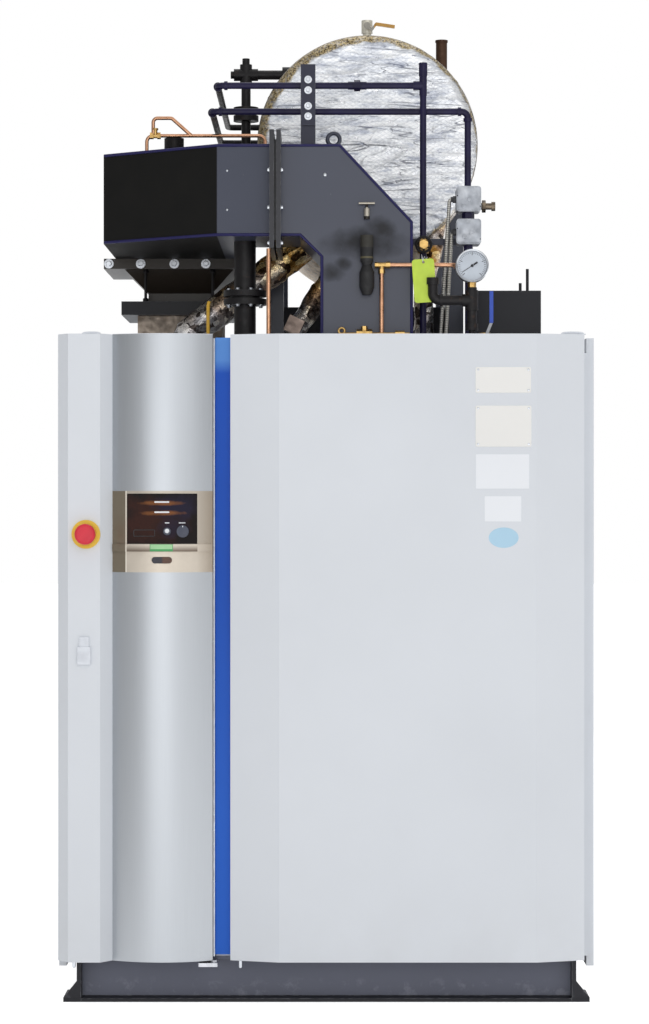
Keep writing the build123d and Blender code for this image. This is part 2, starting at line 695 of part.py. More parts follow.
def vent_lever():
    """Lever with a swan neck and a thicker grip, seated on the vent valve's stem."""
    y = back(VENT_D) - VENT_STEM - RUN_CLEAR
    z = DRUM_Z + DRUM_R + VENT_NIPPLE + VENT_H / 2
    pivot = (DRUM_X, y, z)
    dip = (LEVER_KNEE / 2, -LEVER_DIP)
    knee = (LEVER_KNEE, LEVER_SLOPE)
    tip = (LEVER_L, -LEVER_SLOPE)
    lever = flat_bar(pivot, [(0, 0), dip, knee, tip], LEVER_W, LEVER_T)
    lever += rod(pivot, (DRUM_X, y - LEVER_T, z), VENT_R * 0.6)
    return lever + flat_bar((DRUM_X, y + LEVER_T / 2, z), [knee, tip], LEVER_W * 1.3, LEVER_T * 2)


def drum_stub():
    """Capped pipe stub on the drum's shoulder."""
    foot = (DRUM_X + STUB_X, back(STUB_D), DRUM_Z)
    top = (DRUM_X + STUB_X, back(STUB_D), DRUM_Z + DRUM_R + STUB_RISE)
    cap = rod((top[0], top[1], top[2] - STUB_CAP), top, STUB_R + STUB_CAP / 3)
    return rod(foot, top, STUB_R) + cap - drum_space()


def insulated_pipes():
    """Foil-wrapped pipes from the drum's underside to the deck."""
    inner_r = INSULATED_R * 2 / 3
    mid_d = INSULATED_D + INSULATED_STEP
    runs = [(LAG_LEFT_START, LAG_LEFT_DROP, LAG_LEFT_TURN, LAG_LEFT_RISE, INSULATED_D, INSULATED_R),
            (LAG_MID_START, LAG_MID_DROP, LAG_MID_TURN, LAG_MID_RISE, mid_d, inner_r),
            (LAG_RIGHT_START, LAG_RIGHT_DROP, LAG_RIGHT_TURN, LAG_RIGHT_RISE, INSULATED_D, inner_r)]
    solids = []
    for start_x, start_drop, turn_x, turn_rise, depth, radius in runs:
        y = back(depth)
        turn = (DRUM_X + turn_x, y, DECK_Z + turn_rise)
        route = [(DRUM_X + start_x, y, DRUM_Z - start_drop), turn, (DRUM_X + turn_x, y, DECK_Z)]
        solids.append((pipe(route, radius, radius * 1.4) - drum_space()).solids()[0])
    return Compound(children=solids)


def water_column():
    """Water column beside the drum: pipe, flange pair, plugged tee and a branch into the drum."""
    x = WINDBOX_WAIST_X + COLUMN_PIPE_R + COLUMN_CLEAR
    y = back(COLUMN_D)
    r = COLUMN_PIPE_R
    tee_z = DRUM_Z + COLUMN_TEE
    column = rod((x, y, DECK_Z), (x, y, tee_z), r)
    for rise in (0, COLUMN_FLANGE_T * 1.5):
        column += Pos(x, y, COLUMN_FLANGE_Z + rise) * Cylinder(COLUMN_FLANGE_R, COLUMN_FLANGE_T, align=LOW)
    column += Pos(x, y, COLUMN_FLANGE_Z) * Cylinder(r * 1.8, COLUMN_FLANGE_T * 2, align=LOW)
    column += rod((x, y, tee_z - r * 2.2), (x, y, tee_z + r * 2.2), r * 1.3)
    column += rod((x, y, tee_z), (x, y, tee_z + r * 3.5), r * 0.8)
    column += rod((x - r * 2.6, y, tee_z), (x + r * 2.6, y, tee_z), r * 1.3)
    column += rod((x - r * 3.3, y, tee_z), (x, y, tee_z), r * 0.8)
    branch = rod((x, y, tee_z), (DRUM_X, y, tee_z), r)
    branch += rod((x + COLUMN_FLANGE_R * 2.9, y, tee_z), (x + COLUMN_FLANGE_R * 3.5, y, tee_z), r * 1.7)
    return (column + branch - drum_space()).solids().sort_by(Axis.X)[0]


def sensing_run(right, turn_x, y, z):
    """Run across the drum's face that ends in an elbow to the back."""
    run = pipe([*right, (turn_x, y, z), (turn_x, y + SENSE_ELBOW, z)], SENSE_R, SENSE_BEND)
    run += rod((turn_x + SENSE_BEND, y, z), (turn_x + SENSE_ELBOW, y, z), SENSE_R * 1.35)
    return run + rod((turn_x, y + SENSE_BEND, z), (turn_x, y + SENSE_ELBOW, z), SENSE_R * 1.35)


def sensing_upper_run():
    """Upper sensing run with its union and the capped tee over the riser."""
    x = SENSE_RISER_X
    y = back(SENSE_D)
    z = SENSE_UPPER_Z
    neck_z = z + SENSE_CAP - SENSE_CAP_H
    run = sensing_run([(x, y, z)], SENSE_UPPER_X0, y, z)
    union_x = SENSE_COUPLING_X - UNION_W / 2
    run += hexagon((union_x, y, z), (union_x + UNION_W, y, z), UNION_R)
    run += rod((union_x - UNION_W, y, z), (union_x + UNION_W * 2, y, z), SENSE_R * 1.2)
    run += rod((x - SENSE_ELBOW, y, z), (x, y, z), SENSE_R * 1.35)
    run += rod((x, y, z - SENSE_ELBOW), (x, y, neck_z), SENSE_R * 1.15)
    return run + rod((x, y, neck_z), (x, y, z + SENSE_CAP), SENSE_R * 1.3)


def sensing_lower_run():
    """Lower sensing run, which passes behind the riser and turns down to the switches."""
    y = back(SENSE_LOW_D)
    z = SENSE_LOWER_Z
    right = [(SWITCH_X, y, z - SENSE_ELBOW), (SWITCH_X, y, z)]
    run = sensing_run(right, SENSE_LOWER_X0, y, z)
    run += rod((SWITCH_X - SENSE_ELBOW, y, z), (SWITCH_X - SENSE_BEND, y, z), SENSE_R * 1.35)
    return run + rod((SWITCH_X, y, z - SENSE_ELBOW), (SWITCH_X, y, z - SENSE_BEND), SENSE_R * 1.35)


def sensing_returns():
    """Pipes from the runs' elbows straight back, then into the drum's side."""
    returns = []
    for x, y, depth, z in ((SENSE_UPPER_X0, back(SENSE_D), SENSE_UPPER_D, SENSE_UPPER_Z),
                           (SENSE_LOWER_X0, back(SENSE_LOW_D), SENSE_LOWER_D, SENSE_LOWER_Z)):
        route = [(x, y + SENSE_ELBOW, z), (x, back(depth), z), (DRUM_X, back(depth), z)]
        returns.append((pipe(route, SENSE_R, SENSE_BEND) - drum_space()).solids().sort_by(Axis.X)[0])
    return Compound(children=returns)


def sensing_risers():
    """Upright pipes: through the isolating valve to the deck, and through the two switches."""
    y = back(SENSE_D)
    low_y = back(SENSE_LOW_D)
    spans = [(SENSE_RISER_X, y, ISOLATOR_Z + ISOLATOR_H, SENSE_UPPER_Z - SENSE_ELBOW),
             (SENSE_RISER_X, y, DECK_Z, ISOLATOR_Z),
             (SWITCH_X, low_y, SWITCH_UPPER_Z + SWITCH_H, SENSE_LOWER_Z - SENSE_ELBOW),
             (SWITCH_X, y, SWITCH_LOWER_Z + SWITCH_H, SWITCH_UPPER_Z),
             (SWITCH_X, y, DECK_Z, SWITCH_LOWER_Z)]
    risers = [rod((x, span_y, z0), (x, span_y, z1), SENSE_R) for x, span_y, z0, z1 in spans]
    gap_z = SWITCH_LOWER_Z + SWITCH_H
    fitting_z = SWITCH_LOWER_Z - SWITCH_FIT_H
    risers[3] += hexagon((SWITCH_X, y, gap_z), (SWITCH_X, y, SWITCH_UPPER_Z), SWITCH_FIT_R)
    risers[4] += rod((SWITCH_X, y, fitting_z), (SWITCH_X, y, SWITCH_LOWER_Z), SWITCH_FIT_R * 0.75)
    return Compound(children=risers)


def gauge_manifold():
    """Short iron manifold under the pressure gauge with an upturned branch."""
    x = GAUGE_X
    y = back(GAUGE_D) - GAUGE_T / 2
    top = GAUGE_Z - GAUGE_R - GAUGE_STEM
    branch_z = DECK_Z + MANIFOLD_RISE
    branch_top = branch_z + BRANCH_RISE
    foot_z = DECK_Z + MANIFOLD_FOOT
    wide = COLUMN_PIPE_R * 1.25
    run = rod((x, y, DECK_Z), (x, y, foot_z), SENSE_R) + rod((x, y, foot_z), (x, y, top), COLUMN_PIPE_R)
    run += pipe([(x, y, branch_z), (BRANCH_X, y, branch_z), (BRANCH_X, y, branch_top)],
                COLUMN_PIPE_R, COLUMN_PIPE_R * 1.5)
    run += rod((x - SENSE_ELBOW, y, branch_z), (x, y, branch_z), wide)
    run += rod((x, y, branch_z - SENSE_ELBOW), (x, y, branch_z + SENSE_ELBOW), wide)
    run += rod((x, y, foot_z), (x, y, foot_z + SENSE_BEND), wide)
    run += rod((BRANCH_X + SENSE_BEND, y, branch_z), (BRANCH_X + SENSE_ELBOW, y, branch_z), wide)
    return run + rod((BRANCH_X, y, branch_top - SENSE_BEND), (BRANCH_X, y, branch_top), wide)


def pressure_gauge():
    """Round gauge case with a recessed dial, facing the front."""
    y1 = back(GAUGE_D)
    y0 = y1 - GAUGE_T
    case = rod((GAUGE_X, y0, GAUGE_Z), (GAUGE_X, y1, GAUGE_Z), GAUGE_R)
    return case - rod((GAUGE_X, y0, GAUGE_Z), (GAUGE_X, y0 + GAUGE_T * 0.2, GAUGE_Z), GAUGE_R * 0.9)


def gauge_stem():
    """Hexagon between the manifold and the gauge case, hollowed to the case's curve."""
    y = back(GAUGE_D) - GAUGE_T / 2
    foot_z = GAUGE_Z - GAUGE_R - GAUGE_STEM
    stem = hexagon((GAUGE_X, y, foot_z), (GAUGE_X, y, GAUGE_Z - GAUGE_R / 2), GAUGE_STEM_R)
    return stem - rod((GAUGE_X, y - GAUGE_T, GAUGE_Z), (GAUGE_X, y + GAUGE_T, GAUGE_Z), GAUGE_R)


def pressure_switch(z):
    """Cast switch box with rounded corners."""
    y = back(SENSE_D)
    box = block(SWITCH_X - SWITCH_W / 2, SWITCH_X + SWITCH_W / 2, y - SWITCH_T / 2, y + SWITCH_T / 2,
                z, z + SWITCH_H)
    return fillet(box.edges().filter_by(Axis.Y), SWITCH_W * 0.12)


def pipe_brackets():
    """Two lapped plates on the duct for the sensing pipes, and the bar that carries the switches."""
    lap_y = back(SENSE_D) - SENSE_R - RUN_CLEAR
    x0 = BRACKET_X - BRACKET_W / 2
    x1 = x0 + BRACKET_W
    lap_z = WINDBOX_Z1 + BRACKET_LOWER_H
    upright = block(x0, x1, lap_y - BRACKET_T, lap_y, lap_z, SENSE_UPPER_Z + BRACKET_W * 1.4)
    upright += block(x0, x1, lap_y, lap_y + BRACKET_T, WINDBOX_Z1, lap_z + BRACKET_LAP)
    upright += block(x0, x1, lap_y, lap_y + BRACKET_W, WINDBOX_Z1, WINDBOX_Z1 + BRACKET_T)
    bar_y = back(SENSE_D) + SWITCH_T / 2
    bar_z = SWITCH_LOWER_Z + BRACKET_T / 2
    bar_x1 = SWITCH_X - SWITCH_W / 2
    bar = block(DUCT_X1, bar_x1, bar_y - BRACKET_T * 2, bar_y, bar_z, bar_z + BRACKET_T * 2)
    return Compound(children=[upright, bar])


def copper_tubes():
    """Gauge line with its drop, the drop tube under the duct flange, and the pilot line."""
    y = back(WINDBOX_FRONT) - LINE_STAND
    bend = COPPER_R * 3
    z = GAUGE_Z + COPPER_R
    riser = (SWITCH_X - SENSE_R - RUN_CLEAR, back(SENSE_D), z)
    gauge_line = pipe([(TEE_X + TEE_REACH, y, z), (LINE_TURN_X, y, z), (LINE_TURN_X, back(SENSE_D), z),
                       riser], COPPER_R, bend)
    gauge_drop = rod((TEE_X, y, DECK_Z), (TEE_X, y, z - TEE_REACH), COPPER_R)
    drop_x = WINDBOX_X1 - COPPER_R * 0.4
    drop_y = back(WINDBOX_FRONT) - COPPER_R * 2
    drop = rod((drop_x, drop_y, DECK_Z), (drop_x, drop_y, WINDBOX_Z0 - FLANGE_PAIR_RIM), COPPER_R)
    pilot_y = back(WINDBOX_FRONT + PILOT_D)
    pilot_z = WINDBOX_Z1 + PILOT_RISE
    pilot_x = BURNER_X - PILOT_REACH
    pilot = pipe([(pilot_x, pilot_y, WINDBOX_Z1), (pilot_x, pilot_y, pilot_z),
                  (WINDBOX_X1 - bend, pilot_y, pilot_z), (WINDBOX_X1 - bend, pilot_y, WINDBOX_Z1)],
                 COPPER_R * 0.85, bend)
    loop_z = pilot_z + PILOT_RISE * 0.8
    pilot += pipe([(pilot_x + bend, pilot_y, pilot_z), (pilot_x + bend, pilot_y, loop_z),
                   (BURNER_X, pilot_y, loop_z), (BURNER_X + PILOT_REACH * 0.8, pilot_y, pilot_z)],
                  COPPER_R * 0.85, bend * 0.7)
    return Compound(children=[gauge_line, gauge_drop, drop, pilot])


def line_tee():
    """Plugged tee with a nut at each end, where the gauge line turns down."""
    x = TEE_X
    y = back(WINDBOX_FRONT) - LINE_STAND
    z = GAUGE_Z + COPPER_R
    nut = TEE_REACH * 0.5
    tee = rod((x - TEE_REACH * 0.8, y, z), (x + TEE_REACH, y, z), TEE_R * 0.85)
    tee += rod((x, y, z - TEE_REACH), (x, y, z), TEE_R * 0.85)
    tee += hexagon((x - TEE_REACH * 0.8, y, z), (x - TEE_REACH * 0.4, y, z), TEE_R)
    tee += hexagon((x + nut, y, z), (x + TEE_REACH, y, z), TEE_R * 1.15)
    return tee + hexagon((x, y, z - TEE_REACH), (x, y, z - nut), TEE_R * 1.15)


def isolator():
    """Isolating valve with its stem, and the nut in front of the handwheel."""
    x = SENSE_RISER_X
    y = back(SENSE_D)
    wheel_y = y - ISOLATOR_H
    z0 = ISOLATOR_Z
    z1 = ISOLATOR_Z + ISOLATOR_H
    wheel_z = (z0 + z1) / 2
    nut_y = wheel_y - SENSE_R
    body = rod((x, y, z0), (x, y, z1), SENSE_R * 1.5)
    for end_z in (z0, z1 - ISOLATOR_NUT_T * 2):
        body += hexagon((x, y, end_z), (x, y, end_z + ISOLATOR_NUT_T * 2), SENSE_R * 1.7)
    body += rod((x, y, wheel_z), (x, wheel_y, wheel_z), SENSE_R * 0.5)
    nut = hexagon((x, nut_y, wheel_z), (x, nut_y - ISOLATOR_NUT_T, wheel_z), ISOLATOR_NUT_R)
    return [body, nut]


def test_cock():
    """Test cock on the upper switch: hexagon, body and round knob."""
    y = back(SENSE_D)
    x = SWITCH_X + SWITCH_W / 2
    z = SWITCH_UPPER_Z + SWITCH_H / 4
    end = x + ISOLATOR_H
    cock = rod((x, y, z), (end, y, z), SENSE_R)
    cock += hexagon((x + ISOLATOR_H * 0.1, y, z), (x + ISOLATOR_H * 0.35, y, z), TEST_NUT_R)
    return cock + rod((end - ISOLATOR_H * 0.25, y, z), (end, y, z), SENSE_R * 1.4)


def pilot_cocks():
    """Pilot line along the panel's top edge with a ring cock, a valve and a nut."""
    y = back(WINDBOX_FRONT) - LINE_STAND - COPPER_R - COCK_LINE_R - RUN_CLEAR
    z = DECK_Z + COCK_RISE
    ring_x, valve_x, nut_x = COCK_X
    line = rod((ring_x, y, z), (nut_x + COCK_NUT_W, y, z), COCK_LINE_R)
    for x in COCK_X:
        line += rod((x, y, DECK_Z), (x, y, z), COCK_LINE_R)
    line += Pos(ring_x, y, z + COCK_RING_R) * Rot(90, 0, 0) * Torus(COCK_RING_R, COCK_RING_R * 0.4)
    line += hexagon((valve_x - COCK_BODY_W / 2, y, z), (valve_x + COCK_BODY_W / 2, y, z), COCK_BODY_R)
    line += hexagon((valve_x, y, z), (valve_x, y, z + COCK_BODY_R * 1.6), COCK_NUT_R)
    return line + hexagon((nut_x - COCK_NUT_W / 2, y, z), (nut_x + COCK_NUT_W / 2, y, z), COCK_NUT_R)


def drain_valve():
    """Drain valve that carries the blue lever."""
    y = back(DRAIN_D)
    valve = rod((DRAIN_X, y, DECK_Z), (DRAIN_X, y, DRAIN_Z), VENT_R * 0.75)
    valve += rod((DRAIN_X, y, DRAIN_Z - VENT_R), (DRAIN_X, y, DRAIN_Z + VENT_R), VENT_R)
    return valve + rod((DRAIN_X, y, DRAIN_Z), (DRAIN_X, y - VENT_STEM, DRAIN_Z), VENT_R * 0.35)


def isolator_wheel():
    """Spoked handwheel on the isolating valve's stem."""
    rim_r = ISOLATOR_R * 0.16
    rim_centre = ISOLATOR_R - rim_r
    rim = revolve(Plane.XZ * Pos(rim_centre, 0) * RegularPolygon(rim_r, 8), Axis.Z)
    wheel = Cylinder(SENSE_R * 0.8, SENSE_R)
    for turn in (30, 90, 150):
        wheel += Rot(0, 0, turn) * Rot(0, 90, 0) * Cylinder(rim_r * 0.8, rim_centre * 2)
    centre = (SENSE_RISER_X, back(SENSE_D) - ISOLATOR_H - SENSE_R / 2, ISOLATOR_Z + ISOLATOR_H / 2)
    return Pos(*centre) * Rot(90, 0, 0) * (wheel + rim)


def drain_lever():
    """Cranked lever with a thicker grip, seated on the drain valve's stem."""
    y = back(DRAIN_D) - VENT_STEM - RUN_CLEAR
    pivot = (DRAIN_X, y, DRAIN_Z)
    knee = (DRAIN_CRANK, DRAIN_CRANK * 2.5)
    top = (DRAIN_CRANK, DRAIN_CRANK * 2.5 + DRAIN_GRIP)
    lever = flat_bar(pivot, [(0, 0), knee, top], DRAIN_LEVER_W, LEVER_T)
    lever += rod(pivot, (DRAIN_X, y - LEVER_T, DRAIN_Z), VENT_R * 0.6)
    grip = (DRAIN_X, y + LEVER_T / 2, DRAIN_Z)
    return lever + flat_bar(grip, [knee, top], DRAIN_LEVER_W * 1.3, LEVER_T * 2)


def conduits():
    """Two flexible conduits from the switch boxes down to the deck."""
    y = back(SENSE_D) - SENSE_R * 1.5
    start_x = SWITCH_X - SWITCH_W / 2
    tubes = []
    for z, stand in ((SWITCH_UPPER_Z, CONDUIT_R * 3.6), (SWITCH_LOWER_Z, CONDUIT_R * 2.4)):
        z += SWITCH_H / 2
        turn = (start_x - stand, y, z)
        foot = (turn[0] - stand * 1.6, y, DECK_Z - CONDUIT_R)
        tube = pipe([(start_x, y, z), turn, foot], CONDUIT_R, CONDUIT_R * 1.6)
        tubes.append(split(tube, Plane.XY.offset(DECK_Z), keep=Keep.TOP))
    return Compound(children=tubes)


def rear_boxes():
    """Low box with two rods and a taller box behind it, on the deck's right side."""
    low_top = DECK_Z + BOX_LOW_H
    low = block(BOX_X, BOX_X + BOX_LOW_W, back(BOX_LOW_D), back(BOX_LOW_D + BOX_LOW_L), DECK_Z, low_top)
    for reach, rise in ((0.73, 0.16), (0.84, 0.37)):
        x = BOX_X + BOX_LOW_W * reach
        y = back(BOX_LOW_D + BOX_LOW_L / 4)
        low += rod((x, y, low_top), (x, y, low_top + BOX_LOW_H * rise), COPPER_R * 0.7)
    tall = block(BOX_X - BOX_TALL_W, BOX_X, back(BOX_TALL_D), back(BOX_TALL_D + BOX_TALL_L),
                 DECK_Z, DECK_Z + BOX_TALL_H)
    return Compound(children=[low, tall])


def flue_casing():
    """Low casing behind, under the drum's rear legs."""
    x0 = DRUM_X - LEG_SPREAD / 2 - LEG_W
    x1 = DRUM_X + LEG_SPREAD / 2 + LEG_W
    return block(x0, x1, back(FLUE_FRONT), back(FLUE_FRONT + FLUE_L), DECK_Z, DECK_Z + FLUE_H)


def ignition_transformer():
    """Small transformer on a post, tilted to the front."""
    y = back(TRANSFORMER_D)
    top = DECK_Z + TRANSFORMER_RISE
    post = block(TRANSFORMER_X - WEB_T, TRANSFORMER_X + WEB_T, y - WEB_T, y + WEB_T, DECK_Z, top)
    body = Box(TRANSFORMER_W, TRANSFORMER_W * 1.3, TRANSFORMER_W)
    return post + Pos(TRANSFORMER_X, y, top) * Rot(0, 25, 0) * body


def build():
    """Every node by name."""
    nodes = {
        "base_front_channel": cross_channel(back(BASE_SETBACK + FLANGE_W), -1),
        "base_rear_channel": cross_channel(REAR_Y - BASE_SETBACK - FLANGE_W, 1),
        "base_left_channel": side_channel(-1),
        "base_right_channel": side_channel(1),
        "boiler_casing": boiler_casing(),
        "control_compartment": control_compartment(),
        "main_front_panel": main_front_panel(),
        "blue_trim": block(TRIM_X0, PANEL_X0, back(TRIM_SETBACK), back(PANEL_DEPTH),
                           BASE_H + TRIM_DROP, PANEL_TOP - TRIM_DROP),
        "side_panel_left": side_panel(-1),
        "side_panel_right": side_panel(1),
        "rear_panel": block(-HALF_W, HALF_W, REAR_Y - SHEET, REAR_Y, SIDE_BOTTOM, SIDE_TOP),
        "door_hinge": Compound(children=[door_hinge(), door_rest()]),
        "door_left_panel": door_left_panel(),
        "door_column_upper": column_section(BEZEL_Z1, COLUMN_TOP),
        "door_column_lower": column_section(PANEL_BOTTOM, BEZEL_Z0),
        "control_bezel": control_bezel(),
        "control_window": window_space(WINDOW_RECESS, WINDOW_RECESS + WINDOW_T),
        "control_knobs": control_knobs(),
        "door_latch": door_latch(),
        "stop_ring": stop_ring(),
        "stop_button": stop_button(),
        "windbox": windbox(),
        "windbox_cap": windbox_cap(),
        "burner_funnel": burner_funnel(),
        "burner_beam": burner_block(BEAM_W, BEAM_Z, BEAM_Z + BEAM_H),
        "burner_neck": burner_block(BURNER_NECK_W, DECK_Z, BEAM_Z),
        "gas_pipe": gas_pipe(),
        "air_duct": air_duct(),
        "duct_flange_pair": duct_flange_pair(),
        "damper_handle": damper_handle(),
        "flame_detector": flame_detector(),
        "drum_shell": drum_shell(),
        "drum_front_end": drum_end(DRUM_FRONT, 0),
        "drum_rear_end": drum_end(DRUM_FRONT + DRUM_L - DRUM_END_T, -1),
        "drum_legs": drum_legs(),
        "vent_valve": vent_valve(),
        "vent_lever": vent_lever(),
        "drum_stub": drum_stub(),
        "insulated_pipes": insulated_pipes(),
        "water_column": water_column(),
        "sensing_upper_run": sensing_upper_run(),
        "sensing_lower_run": sensing_lower_run(),
        "sensing_returns": sensing_returns(),
        "sensing_risers": sensing_risers(),
        "gauge_manifold": gauge_manifold(),
        "pipe_brackets": pipe_brackets(),
        "copper_tubes": copper_tubes(),
        "line_tee": line_tee(),
        "pressure_gauge": pressure_gauge(),
        "gauge_stem": gauge_stem(),
        "pressure_switches": Compound(children=[pressure_switch(SWITCH_LOWER_Z),
                                                pressure_switch(SWITCH_UPPER_Z)]),
        "trim_valves": Compound(children=[*isolator(), test_cock(), pilot_cocks(), drain_valve()]),
        "isolator_wheel": isolator_wheel(),
        "drain_lever": drain_lever(),
        "conduits": conduits(),
        "rear_boxes": rear_boxes(),
        "flue_casing": flue_casing(),
        "ignition_transformer": ignition_transformer(),
    }
    return nodes


os.makedirs("parts", exist_ok=True)
for name, shape in build().items():
    export_step(shape, f"parts/{name}.step")
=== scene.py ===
import json
import math

import bpy
from mathutils import Matrix, Vector, noise


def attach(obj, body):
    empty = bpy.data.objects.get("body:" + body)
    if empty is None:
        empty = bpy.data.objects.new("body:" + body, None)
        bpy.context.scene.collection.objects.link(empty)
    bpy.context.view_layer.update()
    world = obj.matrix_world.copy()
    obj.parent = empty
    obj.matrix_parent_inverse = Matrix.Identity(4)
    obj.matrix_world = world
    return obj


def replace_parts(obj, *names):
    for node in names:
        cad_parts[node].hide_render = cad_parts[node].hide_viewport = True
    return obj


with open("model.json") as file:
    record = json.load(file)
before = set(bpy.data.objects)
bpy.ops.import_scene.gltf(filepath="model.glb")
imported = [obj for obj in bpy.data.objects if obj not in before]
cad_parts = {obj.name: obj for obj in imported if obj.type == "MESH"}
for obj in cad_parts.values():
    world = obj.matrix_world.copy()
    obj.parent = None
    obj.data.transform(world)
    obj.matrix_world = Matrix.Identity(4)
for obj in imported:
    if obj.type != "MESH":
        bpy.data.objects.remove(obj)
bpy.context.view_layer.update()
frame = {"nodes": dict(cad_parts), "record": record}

# Looks of the steam boiler: materials for the CAD nodes, the wrinkled foil of the drum and its
# pipes, and small fittings. Metres, in the CAD frame: +X right, +Y back, +Z up; the front faces -Y.

nodes = frame["nodes"]

# Bodies and directions
ROOT = "boiler"
DOOR = "control_door"
RIGHT, UP, BACK = Vector((1, 0, 0)), Vector((0, 0, 1)), Vector((0, 1, 0))
OUT = -BACK

# Places on the solids
FRONT = -1.1
DECK = 1.74
PANEL_TOP, PANEL_FOOT = 1.787, 0.12
DUCT_FACE = FRONT + 0.15
DUCT_TOP, DUCT_UNDER = 2.3065, 2.0645
FLANGE_LEFT, FLANGE_RIGHT = -0.154, -0.123
WINDBOX_CORNER = -0.296
DRUM_X, DRUM_Z, DRUM_R = 0.117, 2.3585, 0.3145
DRUM_Y0, DRUM_Y1, DRUM_EDGE = -0.6, 0.8, 0.035
COLUMN_MID, COLUMN_R = -0.43665, 0.2715
FASCIA = FRONT + 0.022

# Patterns of the materials: the span that a noise fills, and lengths
NOISE_LOW, NOISE_HIGH = 0.3, 0.7
WEAR_REACH, BAND_SOFT = 0.004, 0.0005
THREAD_PITCH, CONDUIT_PITCH = 0.0095, 0.006

# Where a tint begins and where it is full, along one axis
DUST_Z = (0.32, 0.1)
SCUFF_Z, BASE_LIP_Z = (0.065, 0.04), (0.012, 0.0105)
TRIM_FOOT_Z, TRIM_REFLECTION_Z = (1.15, 0.5), (1.685, 1.72)
OILY_X, OILY_Z = (0.412, 0.416), (2.08, 2.1)
DARK_BLOTS_Y = (-0.94, -0.945)
CROWN_SHADE_Z, BELLY_Z, GOLD_Z = (2.36, 2.62), (2.24, 2.08), (1.84, 1.97)
BEZEL_UPPER_Z, BEZEL_RIGHT_X, BEZEL_STRIP_X = (1.225, 1.235), (-0.345, -0.303), (-0.5335, -0.5345)

# The same for tints that also end
BEZEL_BEAD_X = ((-0.5345, -0.534), (-0.5305, -0.531))
LEDGE_SHADE_X = ((-0.531, -0.53), (-0.342, -0.343))
LEDGE_SHADE_Z = ((1.226, 1.212), (1.2085, 1.2095))

# Dark blots on the duct face by the flame detector: x, z and their half width and height
DARK_BLOTS = ((0.105, 2.042, 0.13, 0.05), (0.148, 2.076, 0.05, 0.045), (0.045, 1.985, 0.028, 0.024),
        (0.015, 1.962, 0.04, 0.03))

# Creases of the foil: noise scale along and across them, line width, and the patches they keep to
FOLDS = ((1.7, 17, 0.0075, 0.4), (3.4, 30, 0.009, 0.44), (7, 52, 0.011, 0.5))

MATERIALS = {}


def srgb(r, g, b):
    """Linear colour of an sRGB one given in 0..255."""
    parts = []
    for value in (r, g, b):
        c = value / 255
        parts.append(c / 12.92 if c <= 0.04045 else ((c + 0.055) / 1.055) ** 2.4)
    return (*parts, 1.0)


def shade(colour, factor):
    """The same colour, lighter or darker."""
    return (*(min(1.0, c * factor) for c in colour[:3]), 1.0)


# Painted reflections in the smoked window: the spot, its strength and its colour
AMBER_REFLECTION = srgb(136, 84, 44)
WINDOW_REFLECTIONS = (((-0.47, 1.29, 0.12, 0.08), 1.0, srgb(52, 22, 14)),
                ((-0.4, 1.33, 0.07, 0.05), 1.0, srgb(30, 26, 48)),
                ((-0.41, 1.272, 0.05, 0.03), 0.7, srgb(34, 30, 54)),
                ((-0.436, 1.338, 0.062, 0.0075), 0.9, AMBER_REFLECTION),
                ((-0.436, 1.311, 0.062, 0.0075), 0.9, AMBER_REFLECTION))


class Nodes:
    """A node tree under construction; coord names the coordinates that it works in."""

    def __init__(self, tree, coord):
        self.tree = tree
        self.coord = self.node("ShaderNodeTexCoord").outputs[coord]

    def node(self, kind, **values):
        made = self.tree.nodes.new(kind)
        for key, value in values.items():
            setattr(made, key, value)
        return made

    def link(self, source, target):
        self.tree.links.new(source, target)

    def feed(self, node, socket, value):
        """Links an output or sets a constant."""
        target = node.inputs[socket]
        if isinstance(value, bpy.types.NodeSocket):
            self.link(value, target)
        else:
            target.default_value = value

    def remap(self, value, low, high, to_low=0.0, to_high=1.0):
        made = self.node("ShaderNodeMapRange")
        for socket, part in zip(("Value", "From Min", "From Max", "To Min", "To Max"),
                                (value, low, high, to_low, to_high)):
            self.feed(made, socket, part)
        return made.outputs["Result"]

    def maths(self, operation, a, b=0.0):
        made = self.node("ShaderNodeMath", operation=operation)
        self.feed(made, 0, a)
        self.feed(made, 1, b)
        return made.outputs[0]

    def times(self, a, b):
        return self.maths("MULTIPLY", a, b)

    def plus(self, a, b):
        return self.maths("ADD", a, b)

    def minus(self, a, b):
        return self.maths("SUBTRACT", a, b)

    def greatest(self, fields):
        """The highest of several fields at each point."""
        top = fields[0]
        for field in fields[1:]:
            top = self.maths("MAXIMUM", top, field)
        return top

    def axis(self, name):
        made = self.node("ShaderNodeSeparateXYZ")
        self.link(self.coord, made.inputs[0])
        return made.outputs[name]


